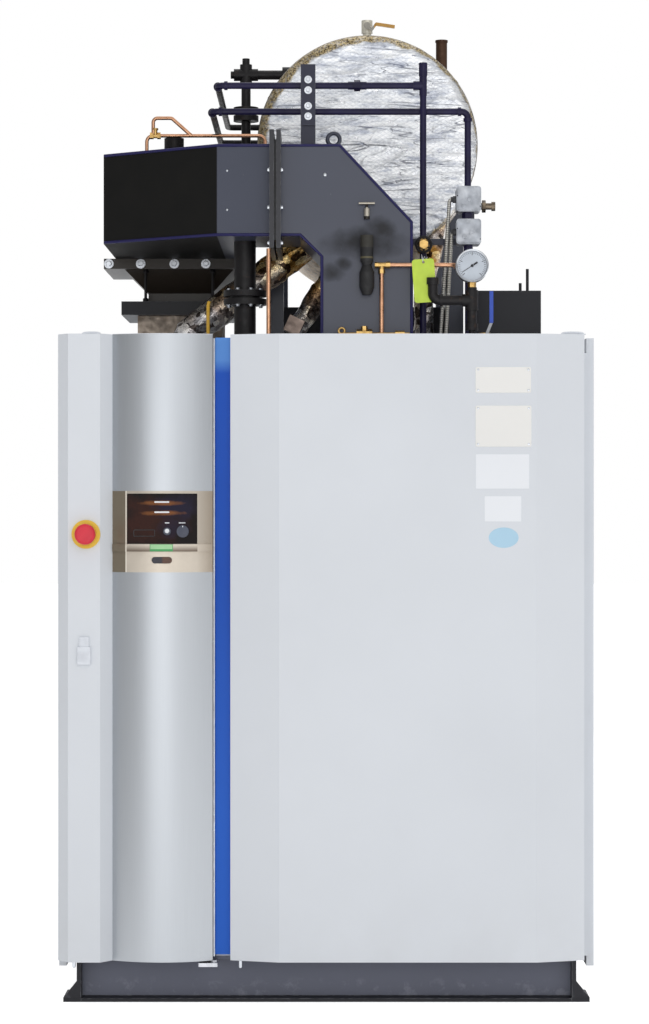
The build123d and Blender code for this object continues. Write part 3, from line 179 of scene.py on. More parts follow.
class Graph(Nodes):
    """A material under construction, listed in MATERIALS, with its Principled shader."""

    def __init__(self, name, rough, metallic=0.0, specular=0.5):
        MATERIALS[name] = bpy.data.materials.new(name)
        MATERIALS[name].use_nodes = True
        super().__init__(MATERIALS[name].node_tree, "Object")
        self.shader = self.tree.nodes["Principled BSDF"]
        self.roughness(rough)
        self.feed(self.shader, "Metallic", metallic)
        self.feed(self.shader, "Specular IOR Level", specular)

    def stretch(self, scale):
        mapping = self.node("ShaderNodeMapping")
        self.link(self.coord, mapping.inputs["Vector"])
        mapping.inputs["Scale"].default_value = scale
        return mapping.outputs["Vector"]

    def noise(self, scale, detail=4.0, rough=0.5, stretch=None, distort=0.0):
        made = self.node("ShaderNodeTexNoise")
        self.feed(made, "Vector", self.stretch(stretch) if stretch else self.coord)
        self.feed(made, "Scale", scale)
        self.feed(made, "Detail", detail)
        self.feed(made, "Roughness", rough)
        self.feed(made, "Distortion", distort)
        return made.outputs["Fac"]

    def patches(self, scale, detail, low=0.0, high=1.0):
        """Soft patches that wander between two values."""
        return self.remap(self.noise(scale, detail), NOISE_LOW, NOISE_HIGH, low, high)

    def mix(self, factor, a, b):
        made = self.node("ShaderNodeMix", data_type="RGBA")
        self.feed(made, 0, factor)
        self.feed(made, 6, a)
        self.feed(made, 7, b)
        return made.outputs[2]

    def mottle(self, base, scale, detail, dark, light):
        """A colour in soft patches of a darker and a lighter shade."""
        return self.mix(self.patches(scale, detail), shade(base, dark), shade(base, light))

    def between(self, value, rise, fall):
        """1 between two limits, each given as the value outside and inside it."""
        return self.times(self.remap(value, *rise), self.remap(value, *fall))

    def spot(self, x, z, radius_x, radius_z, ragged=0.45):
        """1 at a point of the front, fading to 0 at an uneven rim."""
        dx = self.maths("DIVIDE", self.minus(self.axis("X"), x), radius_x)
        dz = self.maths("DIVIDE", self.minus(self.axis("Z"), z), radius_z)
        square = self.plus(self.times(dx, dx), self.times(dz, dz))
        return self.remap(self.plus(square, self.patches(26, 5, -ragged, ragged)), 1.0, 0.0)

    def blotches(self):
        """Ragged blotches of tarnish."""
        return self.remap(self.noise(24, 7, 0.6), 0.5, 0.72, 0, 0.75)

    def colour(self, value):
        self.feed(self.shader, "Base Color", value)

    def roughness(self, value):
        self.feed(self.shader, "Roughness", value)

    def bump(self, height, strength, distance):
        made = self.node("ShaderNodeBump")
        self.feed(made, "Height", height)
        self.feed(made, "Strength", strength)
        self.feed(made, "Distance", distance)
        self.link(made.outputs[0], self.shader.inputs["Normal"])

    def orange_peel(self):
        """The fine waviness of sprayed paint."""
        self.bump(self.noise(900, 2), 0.04, 0.0006)

    def wear(self, amount):
        """Mask of the edges, broken up."""
        soft = self.node("ShaderNodeBevel", samples=4)
        self.feed(soft, "Radius", WEAR_REACH)
        hard = self.node("ShaderNodeNewGeometry").outputs["Normal"]
        dot = self.node("ShaderNodeVectorMath", operation="DOT_PRODUCT")
        self.link(soft.outputs[0], dot.inputs[0])
        self.link(hard, dot.inputs[1])
        edge = self.remap(dot.outputs["Value"], 0.99, 0.85)
        return self.times(edge, self.remap(self.noise(60, 6), 0.42, 0.62, 0.0, amount))


def paint(name, colour, rough, specular=0.5, mottle=0.03):
    """Sprayed paint: faint mottling and orange peel."""
    g = Graph(name, rough, specular=specular)
    g.colour(g.mottle(colour, 2.2, 4, 1 - mottle, 1 + mottle))
    g.roughness(g.patches(3, 3, rough * 0.96, rough * 1.05))
    g.orange_peel()


def panel_white():
    """Pale panel paint, slightly dusty along the foot."""
    g = Graph("panel_white", 0.42, specular=0.45)
    base = srgb(221, 225, 231)
    tint = g.mix(g.remap(g.noise(2.1, 5), 0.35, 0.65), shade(base, 0.985), shade(base, 1.02))
    dust = g.times(g.remap(g.axis("Z"), *DUST_Z), g.remap(g.noise(7, 5), 0.4, 0.75, 0, 0.16))
    g.colour(g.mix(dust, tint, srgb(186, 184, 182)))
    g.roughness(g.patches(9, 5, 0.36, 0.5))
    g.bump(g.noise(800, 2), 0.03, 0.0006)


def trim_blue():
    """Glossy blue strip, paler at the top as a painted reflection, and paler towards the foot."""
    g = Graph("trim_blue", 0.3, specular=0.2)
    z = g.axis("Z")
    tint = g.mottle(srgb(2, 80, 188), 2.2, 4, 0.95, 1.05)
    tint = g.mix(g.remap(z, *TRIM_FOOT_Z, 0, 0.8), tint, srgb(40, 104, 208))
    # Painted reflection: the pale band along the top of the strip.
    g.colour(g.mix(g.remap(z, *TRIM_REFLECTION_Z), tint, srgb(88, 144, 218)))
    g.roughness(g.patches(3, 3, 0.28, 0.33))
    g.orange_peel()


def base_paint(name, base, scuffs):
    """Grey base paint: darker lip at the foot, chipped edges and pale scuffs."""
    g = Graph(name, 0.45, specular=0.3)
    z = g.axis("Z")
    tint = g.mottle(base, 2.2, 4, 0.95, 1.05)
    scuff = g.times(g.remap(g.noise(30, 6, 0.65), 0.53, 0.68, 0, scuffs), g.remap(z, *SCUFF_Z))
    tint = g.mix(scuff, tint, srgb(160, 163, 172))
    tint = g.mix(g.remap(z, *BASE_LIP_Z), tint, srgb(30, 30, 36))
    g.colour(g.mix(g.wear(0.7), tint, srgb(126, 127, 132)))
    g.roughness(g.patches(3, 3, 0.43, 0.48))
    g.orange_peel()


def brass_fittings():
    """Brass, with the cock at the right darkened by heat and oil."""
    g = Graph("brass", 0.32, metallic=1.0)
    tint = g.mottle(srgb(208, 172, 108), 38, 6, 0.88, 1.12)
    tint = g.mix(g.blotches(), tint, srgb(128, 96, 54))
    oily = g.times(g.remap(g.axis("X"), *OILY_X), g.remap(g.axis("Z"), *OILY_Z))
    grime = g.mix(g.remap(g.noise(70, 5), 0.35, 0.65), srgb(52, 46, 42), srgb(124, 112, 96))
    g.colour(g.mix(oily, tint, grime))
    g.roughness(g.patches(50, 5, 0.24, 0.43))
    g.bump(g.noise(120, 4), 0.12, 0.0006)


def duct_paint(name, base, specular, shaded_flank=None):
    """Dark satin paint on folded sheet, with dark blots by the flame detector, and painted shade that
    turns the whole left side nearly black when a corner for it is given.
    """
    g = Graph(name, 0.34, specular=specular)
    tint = g.mottle(base, 1.8, 3, 0.92, 1.08)
    blots = g.greatest([g.spot(*blot, ragged=0.22) for blot in DARK_BLOTS])
    blots = g.times(blots, g.remap(g.axis("Y"), *DARK_BLOTS_Y))
    tint = g.mix(g.times(blots, 0.9), tint, srgb(10, 10, 15))
    tint = g.mix(g.times(g.wear(0.6), 0.7), tint, srgb(120, 122, 128))
    specks = g.remap(g.noise(140, 3), 0.735, 0.75)
    tint = g.mix(g.times(specks, 0.5), tint, srgb(120, 122, 130))
    rough = g.plus(g.patches(2.6, 3, 0.33, 0.37), g.times(blots, 0.35))
    # Painted shade: left of the given corner the paint turns nearly black and rougher.
    if shaded_flank is not None:
        flank_shade = g.remap(g.axis("X"), shaded_flank + 0.001, shaded_flank - 0.002)
        tint = g.mix(flank_shade, tint, g.mix(g.patches(14, 5), srgb(5, 5, 4), srgb(11, 10, 8)))
        rough = g.plus(rough, g.times(flank_shade, 0.3))
    g.colour(tint)
    g.roughness(rough)
    g.bump(g.noise(420, 3), 0.06, 0.0008)


def column_steel():
    """Stainless sheet brushed along its height, with a white cap on top."""
    g = Graph("column_steel", 0.26)
    base = srgb(179, 183, 188)
    streak = g.noise(9, 5, 0.6, stretch=(140, 140, 0.6))
    tint = g.mix(g.remap(streak, NOISE_LOW, NOISE_HIGH), shade(base, 0.965), shade(base, 1.03))
    cap = g.remap(g.axis("Z"), PANEL_TOP - BAND_SOFT, PANEL_TOP + BAND_SOFT)
    g.colour(g.mix(cap, tint, srgb(222, 225, 231)))
    g.feed(g.shader, "Metallic", g.minus(1.0, cap))
    g.roughness(g.remap(streak, 0.25, 0.75, 0.34, 0.4))
    g.bump(streak, 0.03, 0.0004)


def bare_metal(name, colour, rough, mottle=0.12, tarnish=None, grain=120):
    """Bare or cast metal with mottled tarnish."""
    g = Graph(name, rough, metallic=1.0)
    tint = g.mottle(colour, 38, 6, 1 - mottle, 1 + mottle)
    if tarnish:
        tint = g.mix(g.blotches(), tint, tarnish)
    g.colour(tint)
    g.roughness(g.patches(50, 5, rough * 0.75, rough * 1.35))
    g.bump(g.noise(grain, 4), 0.12, 0.0006)


def pipe_iron(name, base, rust):
    """Black iron pipe, oiled, with a trace of rust."""
    g = Graph(name, 0.42, specular=0.28)
    tint = g.mottle(base, 18, 6, 0.7, 1.35)
    g.colour(g.mix(g.remap(g.noise(33, 7, 0.65), 0.6, 0.74, 0, 0.5), tint, rust))
    g.roughness(g.patches(60, 5, 0.32, 0.55))
    g.bump(g.noise(260, 4), 0.15, 0.0006)


def scrim(g, turn):
    """The threads in the foil that lie at one angle."""
    rise = g.times(g.plus(g.axis("Z"), g.axis("Y")), math.cos(turn))
    along = g.plus(g.times(g.axis("X"), math.sin(turn)), rise)
    return g.remap(g.maths("SINE", g.times(along, 2 * math.pi / THREAD_PITCH)), 0.72, 1.0)


def fold_lines(g, rim, along, across, width, gate):
    """Thin creases where a stretched noise crosses its middle, kept to patches above the gate."""
    stretch = (along if rim else across, along, across)
    field = g.noise(1.0, 2, 0.5, stretch=stretch, distort=0.3)
    line = g.remap(g.maths("ABSOLUTE", g.minus(field, 0.5)), width, width * 0.15)
    return g.times(line, g.remap(g.noise(5 + gate * 6, 3), gate, gate + 0.12))


def foil(name, warm=0.0, rim=False):
    """Scrim-faced aluminium foil: crossed threads, thin creases and ripples with painted shade and
    highlights, painted shade at the crown, warm patches or a painted reflection round the rim.
    """
    g = Graph(name, 0.32, metallic=0.8)
    base, grey = srgb(246, 248, 252), srgb(150, 158, 178)
    tint = g.mix(g.remap(g.noise(120, 6, 0.7), 0.36, 0.6), shade(base, 0.72), shade(base, 1.05))
    dull = g.remap(g.noise(6, 4, stretch=(1, 1, 3)), 0.4, 0.7, 0, 0.22)
    tint = g.mix(dull, tint, srgb(190, 196, 208))
    # Painted shade: the foil turns greyer towards the crown of the drum.
    tint = g.mix(g.remap(g.axis("Z"), *CROWN_SHADE_Z, 0, 0.4), tint, srgb(198, 204, 216))
    # Long ripples in colour only: grey bands of painted shade and white bands of painted highlight.
    ripple = g.noise(1.0, 4, 0.6, stretch=(14 if rim else 62, 14, 62), distort=0.4)
    tint = g.mix(g.remap(ripple, 0.54, 0.66, 0, 0.6), tint, grey)
    tint = g.mix(g.remap(ripple, 0.5, 0.4, 0, 0.8), tint, srgb(253, 254, 255))
    threads = g.greatest([scrim(g, math.radians(angle)) for angle in (30, -30)])
    tint = g.mix(g.times(threads, 0.22), tint, grey)
    folds = g.greatest([fold_lines(g, rim, *row) for row in FOLDS])
    # Painted shade: the creases drawn dark.
    tint = g.mix(g.times(folds, 0.72), tint, srgb(66, 72, 96))
    if warm:
        patch = g.remap(g.noise(9, 6, 0.6), 0.34, 0.58, 0, warm)
        patch = g.greatest([patch, g.remap(g.axis("Z"), *BELLY_Z, 0, 0.85)])
        fleck = g.remap(g.noise(55, 6, 0.7), 0.35, 0.65)
        tint = g.mix(patch, tint, g.mix(fleck, srgb(104, 74, 36), srgb(222, 182, 112)))
    # Painted reflection round the rolled rim: a gold and brown band, widest at the upper left, with
    # glinting flecks and a thin brown line at the very edge.
    if rim:
        dx, dz = g.minus(g.axis("X"), DRUM_X), g.minus(g.axis("Z"), DRUM_Z)
        radius = g.maths("SQRT", g.plus(g.times(dx, dx), g.times(dz, dz)))
        inner = g.remap(g.minus(g.times(dz, 0.5), dx), -0.3, 0.2, 0.975, 0.9)
        ragged = g.plus(g.maths("DIVIDE", radius, DRUM_R), g.patches(22, 4, -0.02, 0.02))
        band = g.remap(g.minus(ragged, inner), 0.0, 0.02)
        band = g.times(band, g.remap(g.noise(90, 6, 0.75), 0.34, 0.52, 0.45, 1.0))
        fleck = g.remap(g.noise(210, 6, 0.7), 0.42, 0.58)
        tint = g.mix(band, tint, g.mix(fleck, srgb(58, 44, 28), srgb(206, 186, 140)))
        tint = g.mix(g.remap(radius, DRUM_R * 0.99, DRUM_R * 0.997), tint, srgb(70, 54, 36))
    g.colour(tint)
    g.roughness(g.patches(60, 5, 0.26, 0.4))
    crinkle = g.plus(g.noise(130, 6, 0.65, distort=0.4), g.times(threads, 0.25))
    g.bump(g.minus(crinkle, folds), 0.4, 0.003)


def foil_pipe():
    """Crumpled bare foil on the lagged pipes: facets coloured from painted shade to painted glints,
    golden higher up.
    """
    g = Graph("foil_warm", 0.24, metallic=0.85)
    warp = g.node("ShaderNodeTexNoise")
    g.link(g.coord, warp.inputs["Vector"])
    g.feed(warp, "Scale", 14)
    push = g.node("ShaderNodeVectorMath", operation="MULTIPLY_ADD")
    g.link(warp.outputs["Color"], push.inputs[0])
    g.feed(push, 1, (0.05, 0.05, 0.05))
    g.link(g.coord, push.inputs[2])
    cells = g.node("ShaderNodeTexVoronoi")
    g.link(push.outputs[0], cells.inputs["Vector"])
    g.feed(cells, "Scale", 46)
    level = g.node("ShaderNodeSeparateXYZ")
    g.link(cells.outputs["Color"], level.inputs[0])
    facet = g.plus(level.outputs[0], g.patches(90, 4, -0.12, 0.12))
    # Facet by facet the colour runs from painted shade through the foil's tone to a painted glint, in
    # silver and in gold.
    silver = g.mix(g.remap(facet, 0.15, 0.5), srgb(84, 78, 76), srgb(196, 198, 204))
    silver = g.mix(g.remap(facet, 0.55, 0.85), silver, srgb(252, 253, 255))
    gold = g.mix(g.remap(facet, 0.2, 0.55), srgb(62, 40, 18), srgb(176, 128, 58))
    gold = g.mix(g.remap(facet, 0.6, 0.95), gold, srgb(244, 214, 150))
    share = g.times(g.remap(g.axis("Z"), *GOLD_Z, 0.25, 1.0), g.remap(g.noise(7, 5), 0.36, 0.52))
    g.colour(g.mix(share, silver, gold))
    g.roughness(g.patches(60, 5, 0.18, 0.34))
    g.bump(g.plus(facet, g.times(g.noise(130, 5, 0.6), 0.4)), 0.6, 0.006)


def plastic(name, colour, rough, specular=0.5, metallic=0.0):
    """Moulded plastic with a fine grain and slight handling marks."""
    g = Graph(name, rough, metallic, specular)
    g.colour(g.mottle(colour, 30, 5, 0.93, 1.06))
    g.roughness(g.patches(70, 5, rough * 0.85, rough * 1.25))
    g.bump(g.noise(1500, 2), 0.05, 0.0003)


def banded(name, colour, rough, metallic, bands, axis="Z"):
    """Handled fitting whose colour changes in bands along an axis: (from, to, colour)."""
    g = Graph(name, rough, metallic)
    place = g.axis(axis)
    tint = g.mottle(colour, 30, 5, 0.93, 1.06)
    for low, high, other in bands:
        inside = g.between(place, (low - BAND_SOFT, low + BAND_SOFT),
                           (high + BAND_SOFT, high - BAND_SOFT))
        tint = g.mix(inside, tint, g.mottle(other, 90, 4, 0.85, 1.0))
    g.colour(tint)
    g.roughness(g.patches(70, 5, rough * 0.85, rough * 1.25))
    g.bump(g.noise(700, 2), 0.06, 0.0004)


def bezel_plastic():
    """Metallic beige moulding: shaded under its ledge, a darker strip and a bright bead at left."""
    g = Graph("bezel_plastic", 0.36, metallic=0.45)
    base = srgb(206, 196, 182)
    x, z = g.axis("X"), g.axis("Z")
    tint = g.mottle(base, 30, 5, 0.96, 1.04)
    tint = g.mix(g.remap(z, *BEZEL_UPPER_Z), tint, shade(base, 0.8))
    shadow = g.times(g.between(x, *LEDGE_SHADE_X), g.between(z, *LEDGE_SHADE_Z))
    tint = g.mix(g.times(shadow, 0.85), tint, srgb(96, 80, 66))
    tint = g.mix(g.remap(x, *BEZEL_RIGHT_X, 0, 0.55), tint, srgb(130, 112, 92))
    tint = g.mix(g.remap(x, *BEZEL_STRIP_X), tint, srgb(124, 114, 98))
    g.colour(g.mix(g.between(x, *BEZEL_BEAD_X), tint, srgb(236, 228, 214)))
    g.roughness(g.patches(70, 5, 0.31, 0.44))
    g.bump(g.noise(1500, 2), 0.05, 0.0003)


def window_smoked():
    """Smoked window: deep maroon with painted reflections, soft patches and two amber streaks, under
    a hard gloss.
    """
    g = Graph("window_smoked", 0.08, specular=0.1)
    tint = srgb(18, 9, 8)
    # Each spot is a painted reflection.
    for place, strength, glow in WINDOW_REFLECTIONS:
        tint = g.mix(g.times(g.spot(*place), strength), tint, glow)
    g.colour(tint)
    g.bump(g.noise(6, 2), 0.02, 0.002)


def pill_dark():
    """Dark insert with a bluish and a rust-red half."""
    g = Graph("pill_dark", 0.3, specular=0.4)
    half = g.remap(g.axis("X"), COLUMN_MID - 0.002, COLUMN_MID + 0.004)
    tint = g.mix(half, srgb(38, 38, 52), srgb(92, 58, 40))
    g.colour(g.mix(g.remap(g.noise(160, 4), 0.4, 0.75, 0, 0.5), tint, srgb(20, 20, 24)))
    g.bump(g.noise(900, 2), 0.05, 0.0003)


def conduit():
    """Plaited flexible conduit: grooves across its length, darker in their hollows as painted shade.
    """
    g = Graph("conduit", 0.35, metallic=0.9)
    colour = srgb(214, 212, 205)
    wave = g.maths("SINE", g.times(g.axis("Z"), 2 * math.pi / CONDUIT_PITCH))
    # Painted shade: the hollows of the grooves drawn darker.
    g.colour(g.mix(g.remap(wave, -0.6, 0.6), shade(colour, 0.62), colour))
    g.bump(wave, 0.6, 0.0015)


base_paint("base_paint", srgb(106, 109, 123), 0.32)
base_paint("base_dark", srgb(34, 34, 40), 0.12)
panel_white()
trim_blue()
bare_metal("steel_plain", srgb(196, 198, 204), 0.32)
column_steel()
bezel_plastic()
window_smoked()
plastic("black_plastic", srgb(26, 27, 32), 0.35)
plastic("knob_grey", srgb(62, 67, 84), 0.4)
paint("seam_navy", srgb(30, 28, 80), 0.4, specular=0.3)
plastic("stop_yellow", srgb(236, 196, 54), 0.4)
plastic("stop_red", srgb(216, 48, 66), 0.36, specular=0.35)
duct_paint("duct_paint", srgb(55, 60, 77), 0.6)
duct_paint("windbox_paint", srgb(72, 76, 90), 0.24, shaded_flank=WINDBOX_CORNER)
duct_paint("box_paint", srgb(26, 27, 33), 0.25)
foil("foil", rim=True)
foil_pipe()
foil("foil_shell", warm=0.28)
pipe_iron("pipe_iron", srgb(24, 22, 24), srgb(84, 60, 46))
banded("boot_rubber", srgb(20, 20, 22), 0.55, 0.0,
       ((2.028, 2.2, srgb(46, 44, 38)), (1.998, 2.003, srgb(88, 82, 58))))
bare_metal("copper", srgb(208, 160, 128), 0.3, tarnish=srgb(160, 112, 80))
brass_fittings()
bare_metal("cast_alloy", srgb(162, 166, 173), 0.5, 0.2, srgb(196, 199, 204), 260)
plastic("gauge_face", srgb(196, 204, 214), 0.4)
bare_metal("gauge_case", srgb(120, 122, 130), 0.35)
banded("lever_ochre", srgb(190, 142, 58), 0.4, 0.0, ((0.0, 0.137, srgb(158, 154, 144)),), axis="X")
banded("lever_blue", srgb(44, 84, 196), 0.4, 0.0, ((0.0, 1.826, srgb(188, 190, 194)),))
bare_metal("zinc", srgb(206, 210, 216), 0.3)
paint("label_white", srgb(240, 243, 248), 0.5, mottle=0.02)
paint("plate_ivory", srgb(240, 239, 236), 0.42, mottle=0.02)
paint("sticker_blue", srgb(178, 214, 236), 0.45)
plastic("label_green", srgb(70, 158, 92), 0.45)
plastic("label_mint", srgb(164, 214, 160), 0.45)
duct_paint("bracket_navy", srgb(34, 36, 56), 0.4)
duct_paint("funnel_brown", srgb(52, 46, 40), 0.4)
plastic("tag_lime", srgb(196, 222, 74), 0.5)
plastic("tube_yellow", srgb(214, 168, 50), 0.45)
conduit()
plastic("valve_chrome", srgb(214, 210, 196), 0.4, metallic=0.5)
pipe_iron("pipe_indigo", srgb(26, 22, 56), srgb(40, 32, 34))
duct_paint("flange_dark", srgb(30, 31, 39), 0.5)
bare_metal("neck_brown", srgb(158, 146, 134), 0.5, 0.3, srgb(112, 92, 76))
bare_metal("transformer_steel", srgb(128, 114, 106), 0.45, 0.25, srgb(60, 52, 50))
banded("handle_steel", srgb(178, 172, 160), 0.34, 0.8,
       ((2.1375, 2.146, srgb(46, 42, 40)), (0.0, 2.113, srgb(52, 48, 46))))
plastic("latch_grey", srgb(208, 212, 219), 0.4, metallic=0.3)
pill_dark()
bare_metal("rust_pipe", srgb(86, 66, 54), 0.55, tarnish=srgb(60, 40, 32))

# CAD nodes that wear another material than the one named after their slot
SPECIAL = {
    "windbox": "windbox_paint", "control_knobs": "knob_grey", "vent_valve": "valve_chrome",
    "sensing_upper_run": "pipe_indigo", "sensing_lower_run": "pipe_indigo",
    "sensing_risers": "pipe_indigo", "duct_flange_pair": "flange_dark",
    "burner_neck": "neck_brown", "damper_handle": "handle_steel",
    "ignition_transformer": "transformer_steel", "rear_boxes": "box_paint",
    "flue_casing": "box_paint", "burner_beam": "box_paint", "pressure_gauge": "gauge_case",
    "conduits": "conduit", "drum_stub": "rust_pipe", "pipe_brackets": "bracket_navy",
    "base_left_channel": "base_dark", "base_right_channel": "base_dark",
    "burner_funnel": "funnel_brown", "door_latch": "latch_grey",
}

for row in frame["record"]["subparts"]:
    slots = nodes[row["node"]].data.materials
    slots.clear()
    slots.append(MATERIALS[SPECIAL.get(row["node"], row["material_slot"])])

CRISP_ANGLE = 35
CORNER_STEPS = 4
PATH_STEPS = 8


def add_piece(name, verts, faces, material, body=ROOT, *, slot):
    """A new smooth-shaded piece in the row frame that rides on a body."""
    mesh = bpy.data.meshes.new(name)
    mesh.from_pydata([tuple(v) for v in verts], [], faces)
    mesh.validate()
    mesh.update()
    for polygon in mesh.polygons:
        polygon.use_smooth = True
    obj = bpy.data.objects.new(name, mesh)
    bpy.context.scene.collection.objects.link(obj)
    mesh.materials.append(MATERIALS[material])
    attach(obj, body)
    return obj


def circle(centre, side, other, radius, count):
    """Vertices round a centre, in the plane of two directions."""
    verts = []
    for i in range(count):
        a = 2 * math.pi * i / count
        verts.append(centre + (side * math.cos(a) + other * math.sin(a)) * radius)
    return verts


def sleeve(rings, count, caps=True):
    """Faces between closed rings of vertices, with a cap on the first and the last ring."""
    faces = []
    for ring in range(rings - 1):
        a, b = ring * count, (ring + 1) * count
        for i in range(count):
            j = (i + 1) % count
            faces.append((a + i, a + j, b + j, b + i))
    if caps:
        last = (rings - 1) * count
        faces += [tuple(reversed(range(count))), tuple(range(last, last + count))]
    return faces


class Mesh:
    """Vertices and faces of one piece, gathered from several simple forms."""

    def __init__(self):
        self.verts = []
        self.faces = []

    def add(self, verts, faces):
        start = len(self.verts)
        self.verts += [Vector(v) for v in verts]
        self.faces += [tuple(start + i for i in face) for face in faces]

    def lathe(self, base, axis, profile, segments, caps=True):
        """Turned form: profile is (radius, height along the axis)."""
        side = axis.orthogonal().normalized()
        other = axis.cross(side)
        verts = []
        for radius, height in profile:
            verts += circle(Vector(base) + axis * height, side, other, radius, segments)
        self.add(verts, sleeve(len(profile), segments, caps))

    def bolt(self, base, axis, radius):
        """Washer, hexagon head and rounded end of a small bolt."""
        head, hexagon = radius * 0.55, radius * 0.62
        washer = head * 0.3
        self.lathe(base, axis, [(radius, 0), (radius, head * 0.22), (radius * 0.94, washer)], 20)
        self.lathe(Vector(base) + axis * washer, axis,
                   [(hexagon, 0), (hexagon, head * 0.75), (radius * 0.5, head)], 6)

    def tube(self, points, radius, segments):
        """Round tube along a list of points."""
        points = [Vector(p) for p in points]
        side = None
        verts = []
        for i, point in enumerate(points):
            ahead = points[min(i + 1, len(points) - 1)] - points[max(i - 1, 0)]
            axis = ahead.normalized()
            side = axis.orthogonal() if side is None else side - axis * side.dot(axis)
            side = side.normalized()
            verts += circle(point, side, axis.cross(side), radius, segments)
        self.add(verts, sleeve(len(points), segments))

    def plate(self, centre, right, up, width, height, thick, corner, bevel=0.0005):
        """Thin plate with round corners and a softened front edge; it grows along right x up."""
        right, up = Vector(right).normalized(), Vector(up).normalized()
        out = right.cross(up)
        outline = []
        for sx, sz, start in ((1, 1, 0), (-1, 1, 90), (-1, -1, 180), (1, -1, 270)):
            for step in range(CORNER_STEPS + 1):
                a = math.radians(start + step * 90 / CORNER_STEPS)
                outline.append((sx * (width / 2 - corner) + corner * math.cos(a),
                                sz * (height / 2 - corner) + corner * math.sin(a)))
        verts = []
        for inset, lift in ((0, 0), (0, thick - bevel), (bevel, thick)):
            for u, v in outline:
                shrink_u = u * (1 - 2 * inset / width)
                shrink_v = v * (1 - 2 * inset / height)
                verts.append(Vector(centre) + right * shrink_u + up * shrink_v + out * lift)
        self.add(verts, sleeve(3, len(outline)))

    def pane(self, y, x0, x1, z0, z1, thick, corner, bevel=0.0005):
        """Plate that faces the front, given by its edges."""
        self.plate(((x0 + x1) / 2, y, (z0 + z1) / 2), RIGHT, UP, x1 - x0, z1 - z0,
                   thick, corner, bevel)

    def make(self, name, material, body=ROOT, *, slot, degrees=CRISP_ANGLE):
        """The piece itself, with the edges above an angle kept crisp."""
        obj = add_piece(name, self.verts, self.faces, material, body, slot=slot)
        obj.data.set_sharp_from_angle(angle=math.radians(degrees))
        return obj


def smooth_path(points):
    """Catmull-Rom line through the points."""
    points = [Vector(p) for p in points]
    padded = [points[0] * 2 - points[1], *points, points[-1] * 2 - points[-2]]
    line = []
    for i in range(1, len(padded) - 2):
        p0, p1, p2, p3 = padded[i - 1:i + 3]
        for s in range(PATH_STEPS):
            t = s / PATH_STEPS
            line.append(0.5 * (2 * p1 + (p2 - p0) * t + (2 * p0 - 5 * p1 + 4 * p2 - p3) * t * t
                               + (3 * p1 - p0 - 3 * p2 + p3) * t * t * t))
    line.append(points[-1])
    return line


# Foil of the drum; where its rolls meet, one laps over the other
LAP_Y, LAP_HALF, LAP_RISE = 0.1, 0.03, 0.002
SHELL_FADE, SHELL_SEED = 0.05, 21


def ridge(x, y, z):
    """Sharp crest of a noise field, 0 to 1."""
    return max(0.0, 1 - abs(noise.noise(Vector((x, y, z)))) * 3.2)


def creases(u, v, seed):
    """Height of foil creases that run mostly along u, in metres."""
    warp = noise.noise(Vector((u * 3, v * 3, seed))) * 0.05
    long_fold = ridge(u * 2.6, (v + warp) * 15, seed) ** 6
    short_fold = ridge(u * 8 + 7, (v + warp * 0.6) * 29, seed + 3) ** 6
    cross = ridge(u * 16, v * 8, seed + 9) ** 8
    puff = noise.noise(Vector((u * 6, v * 9, seed + 5)))
    return 0.0032 * long_fold + 0.002 * short_fold + 0.0008 * cross + 0.0008 * puff - 0.0018


def drum_foil_end(name, node, y_face, outward, seed):
    """Wrinkled foil over one end of the drum, its edge rolled over the shell."""
    rings, segments = 110, 320
    flat = DRUM_R - DRUM_EDGE
    verts = [Vector((DRUM_X, y_face - outward * 0.001, DRUM_Z))]
    for ring in range(1, rings + 1):
        s = ring / rings * (flat + DRUM_EDGE * math.pi / 2)
        if s <= flat:
            radius, depth = s, 0.0
        else:
            a = (s - flat) / DRUM_EDGE
            radius, depth = flat + DRUM_EDGE * math.sin(a), DRUM_EDGE * (1 - math.cos(a))
        edge = max(0.0, (s - flat * 0.9) / (DRUM_EDGE * 2.5))
        pull = min(1.0, depth / DRUM_EDGE)
        for i in range(segments):
            a = 2 * math.pi * i / segments
            x, z = radius * math.cos(a), radius * math.sin(a)
            lift = creases(x, z, seed)
            lift += edge * 0.0025 * noise.noise(Vector((a * 9, s * 30, seed)))
            verts.append(Vector((DRUM_X + x * (1 + lift * pull / DRUM_R),
                                 y_face - outward * (depth - lift * (1 - pull)), DRUM_Z + z)))
    faces = []
    for i in range(segments):
        j = (i + 1) % segments
        faces.append((0, 1 + i, 1 + j))
        for ring in range(rings - 1):
            a, b = 1 + ring * segments, 1 + (ring + 1) * segments
            faces.append((a + i, b + i, b + j, a + j))
    if outward > 0:
        faces = [tuple(reversed(face)) for face in faces]
    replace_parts(add_piece(name, verts, faces, "foil", slot="foil"), node)


def drum_foil_shell():
    """Wrinkled foil round the drum, with a lapped seam where the rolls meet."""
    rows, segments = 150, 260
    y0, y1 = DRUM_Y0 + DRUM_EDGE, DRUM_Y1 - DRUM_EDGE
    verts = []
    for row in range(rows + 1):
        y = y0 + (y1 - y0) * row / rows
        fade = min(1.0, (y - y0) / SHELL_FADE, (y1 - y) / SHELL_FADE)
        lap = max(0.0, 1 - abs((y - LAP_Y) / LAP_HALF)) * LAP_RISE
        for i in range(segments):
            a = 2 * math.pi * i / segments
            lift = creases(math.cos(a) * 0.5 + y * 0.6, math.sin(a) * 0.5 + y * 0.4, SHELL_SEED)
            radius = DRUM_R + (lift * 0.8 + lap) * fade
            verts.append(Vector((DRUM_X + radius * math.cos(a), y, DRUM_Z + radius * math.sin(a))))
    faces = sleeve(rows + 1, segments, caps=False)
    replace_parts(add_piece("drum_foil_shell", verts, faces, "foil_shell", slot="foil"), "drum_shell")


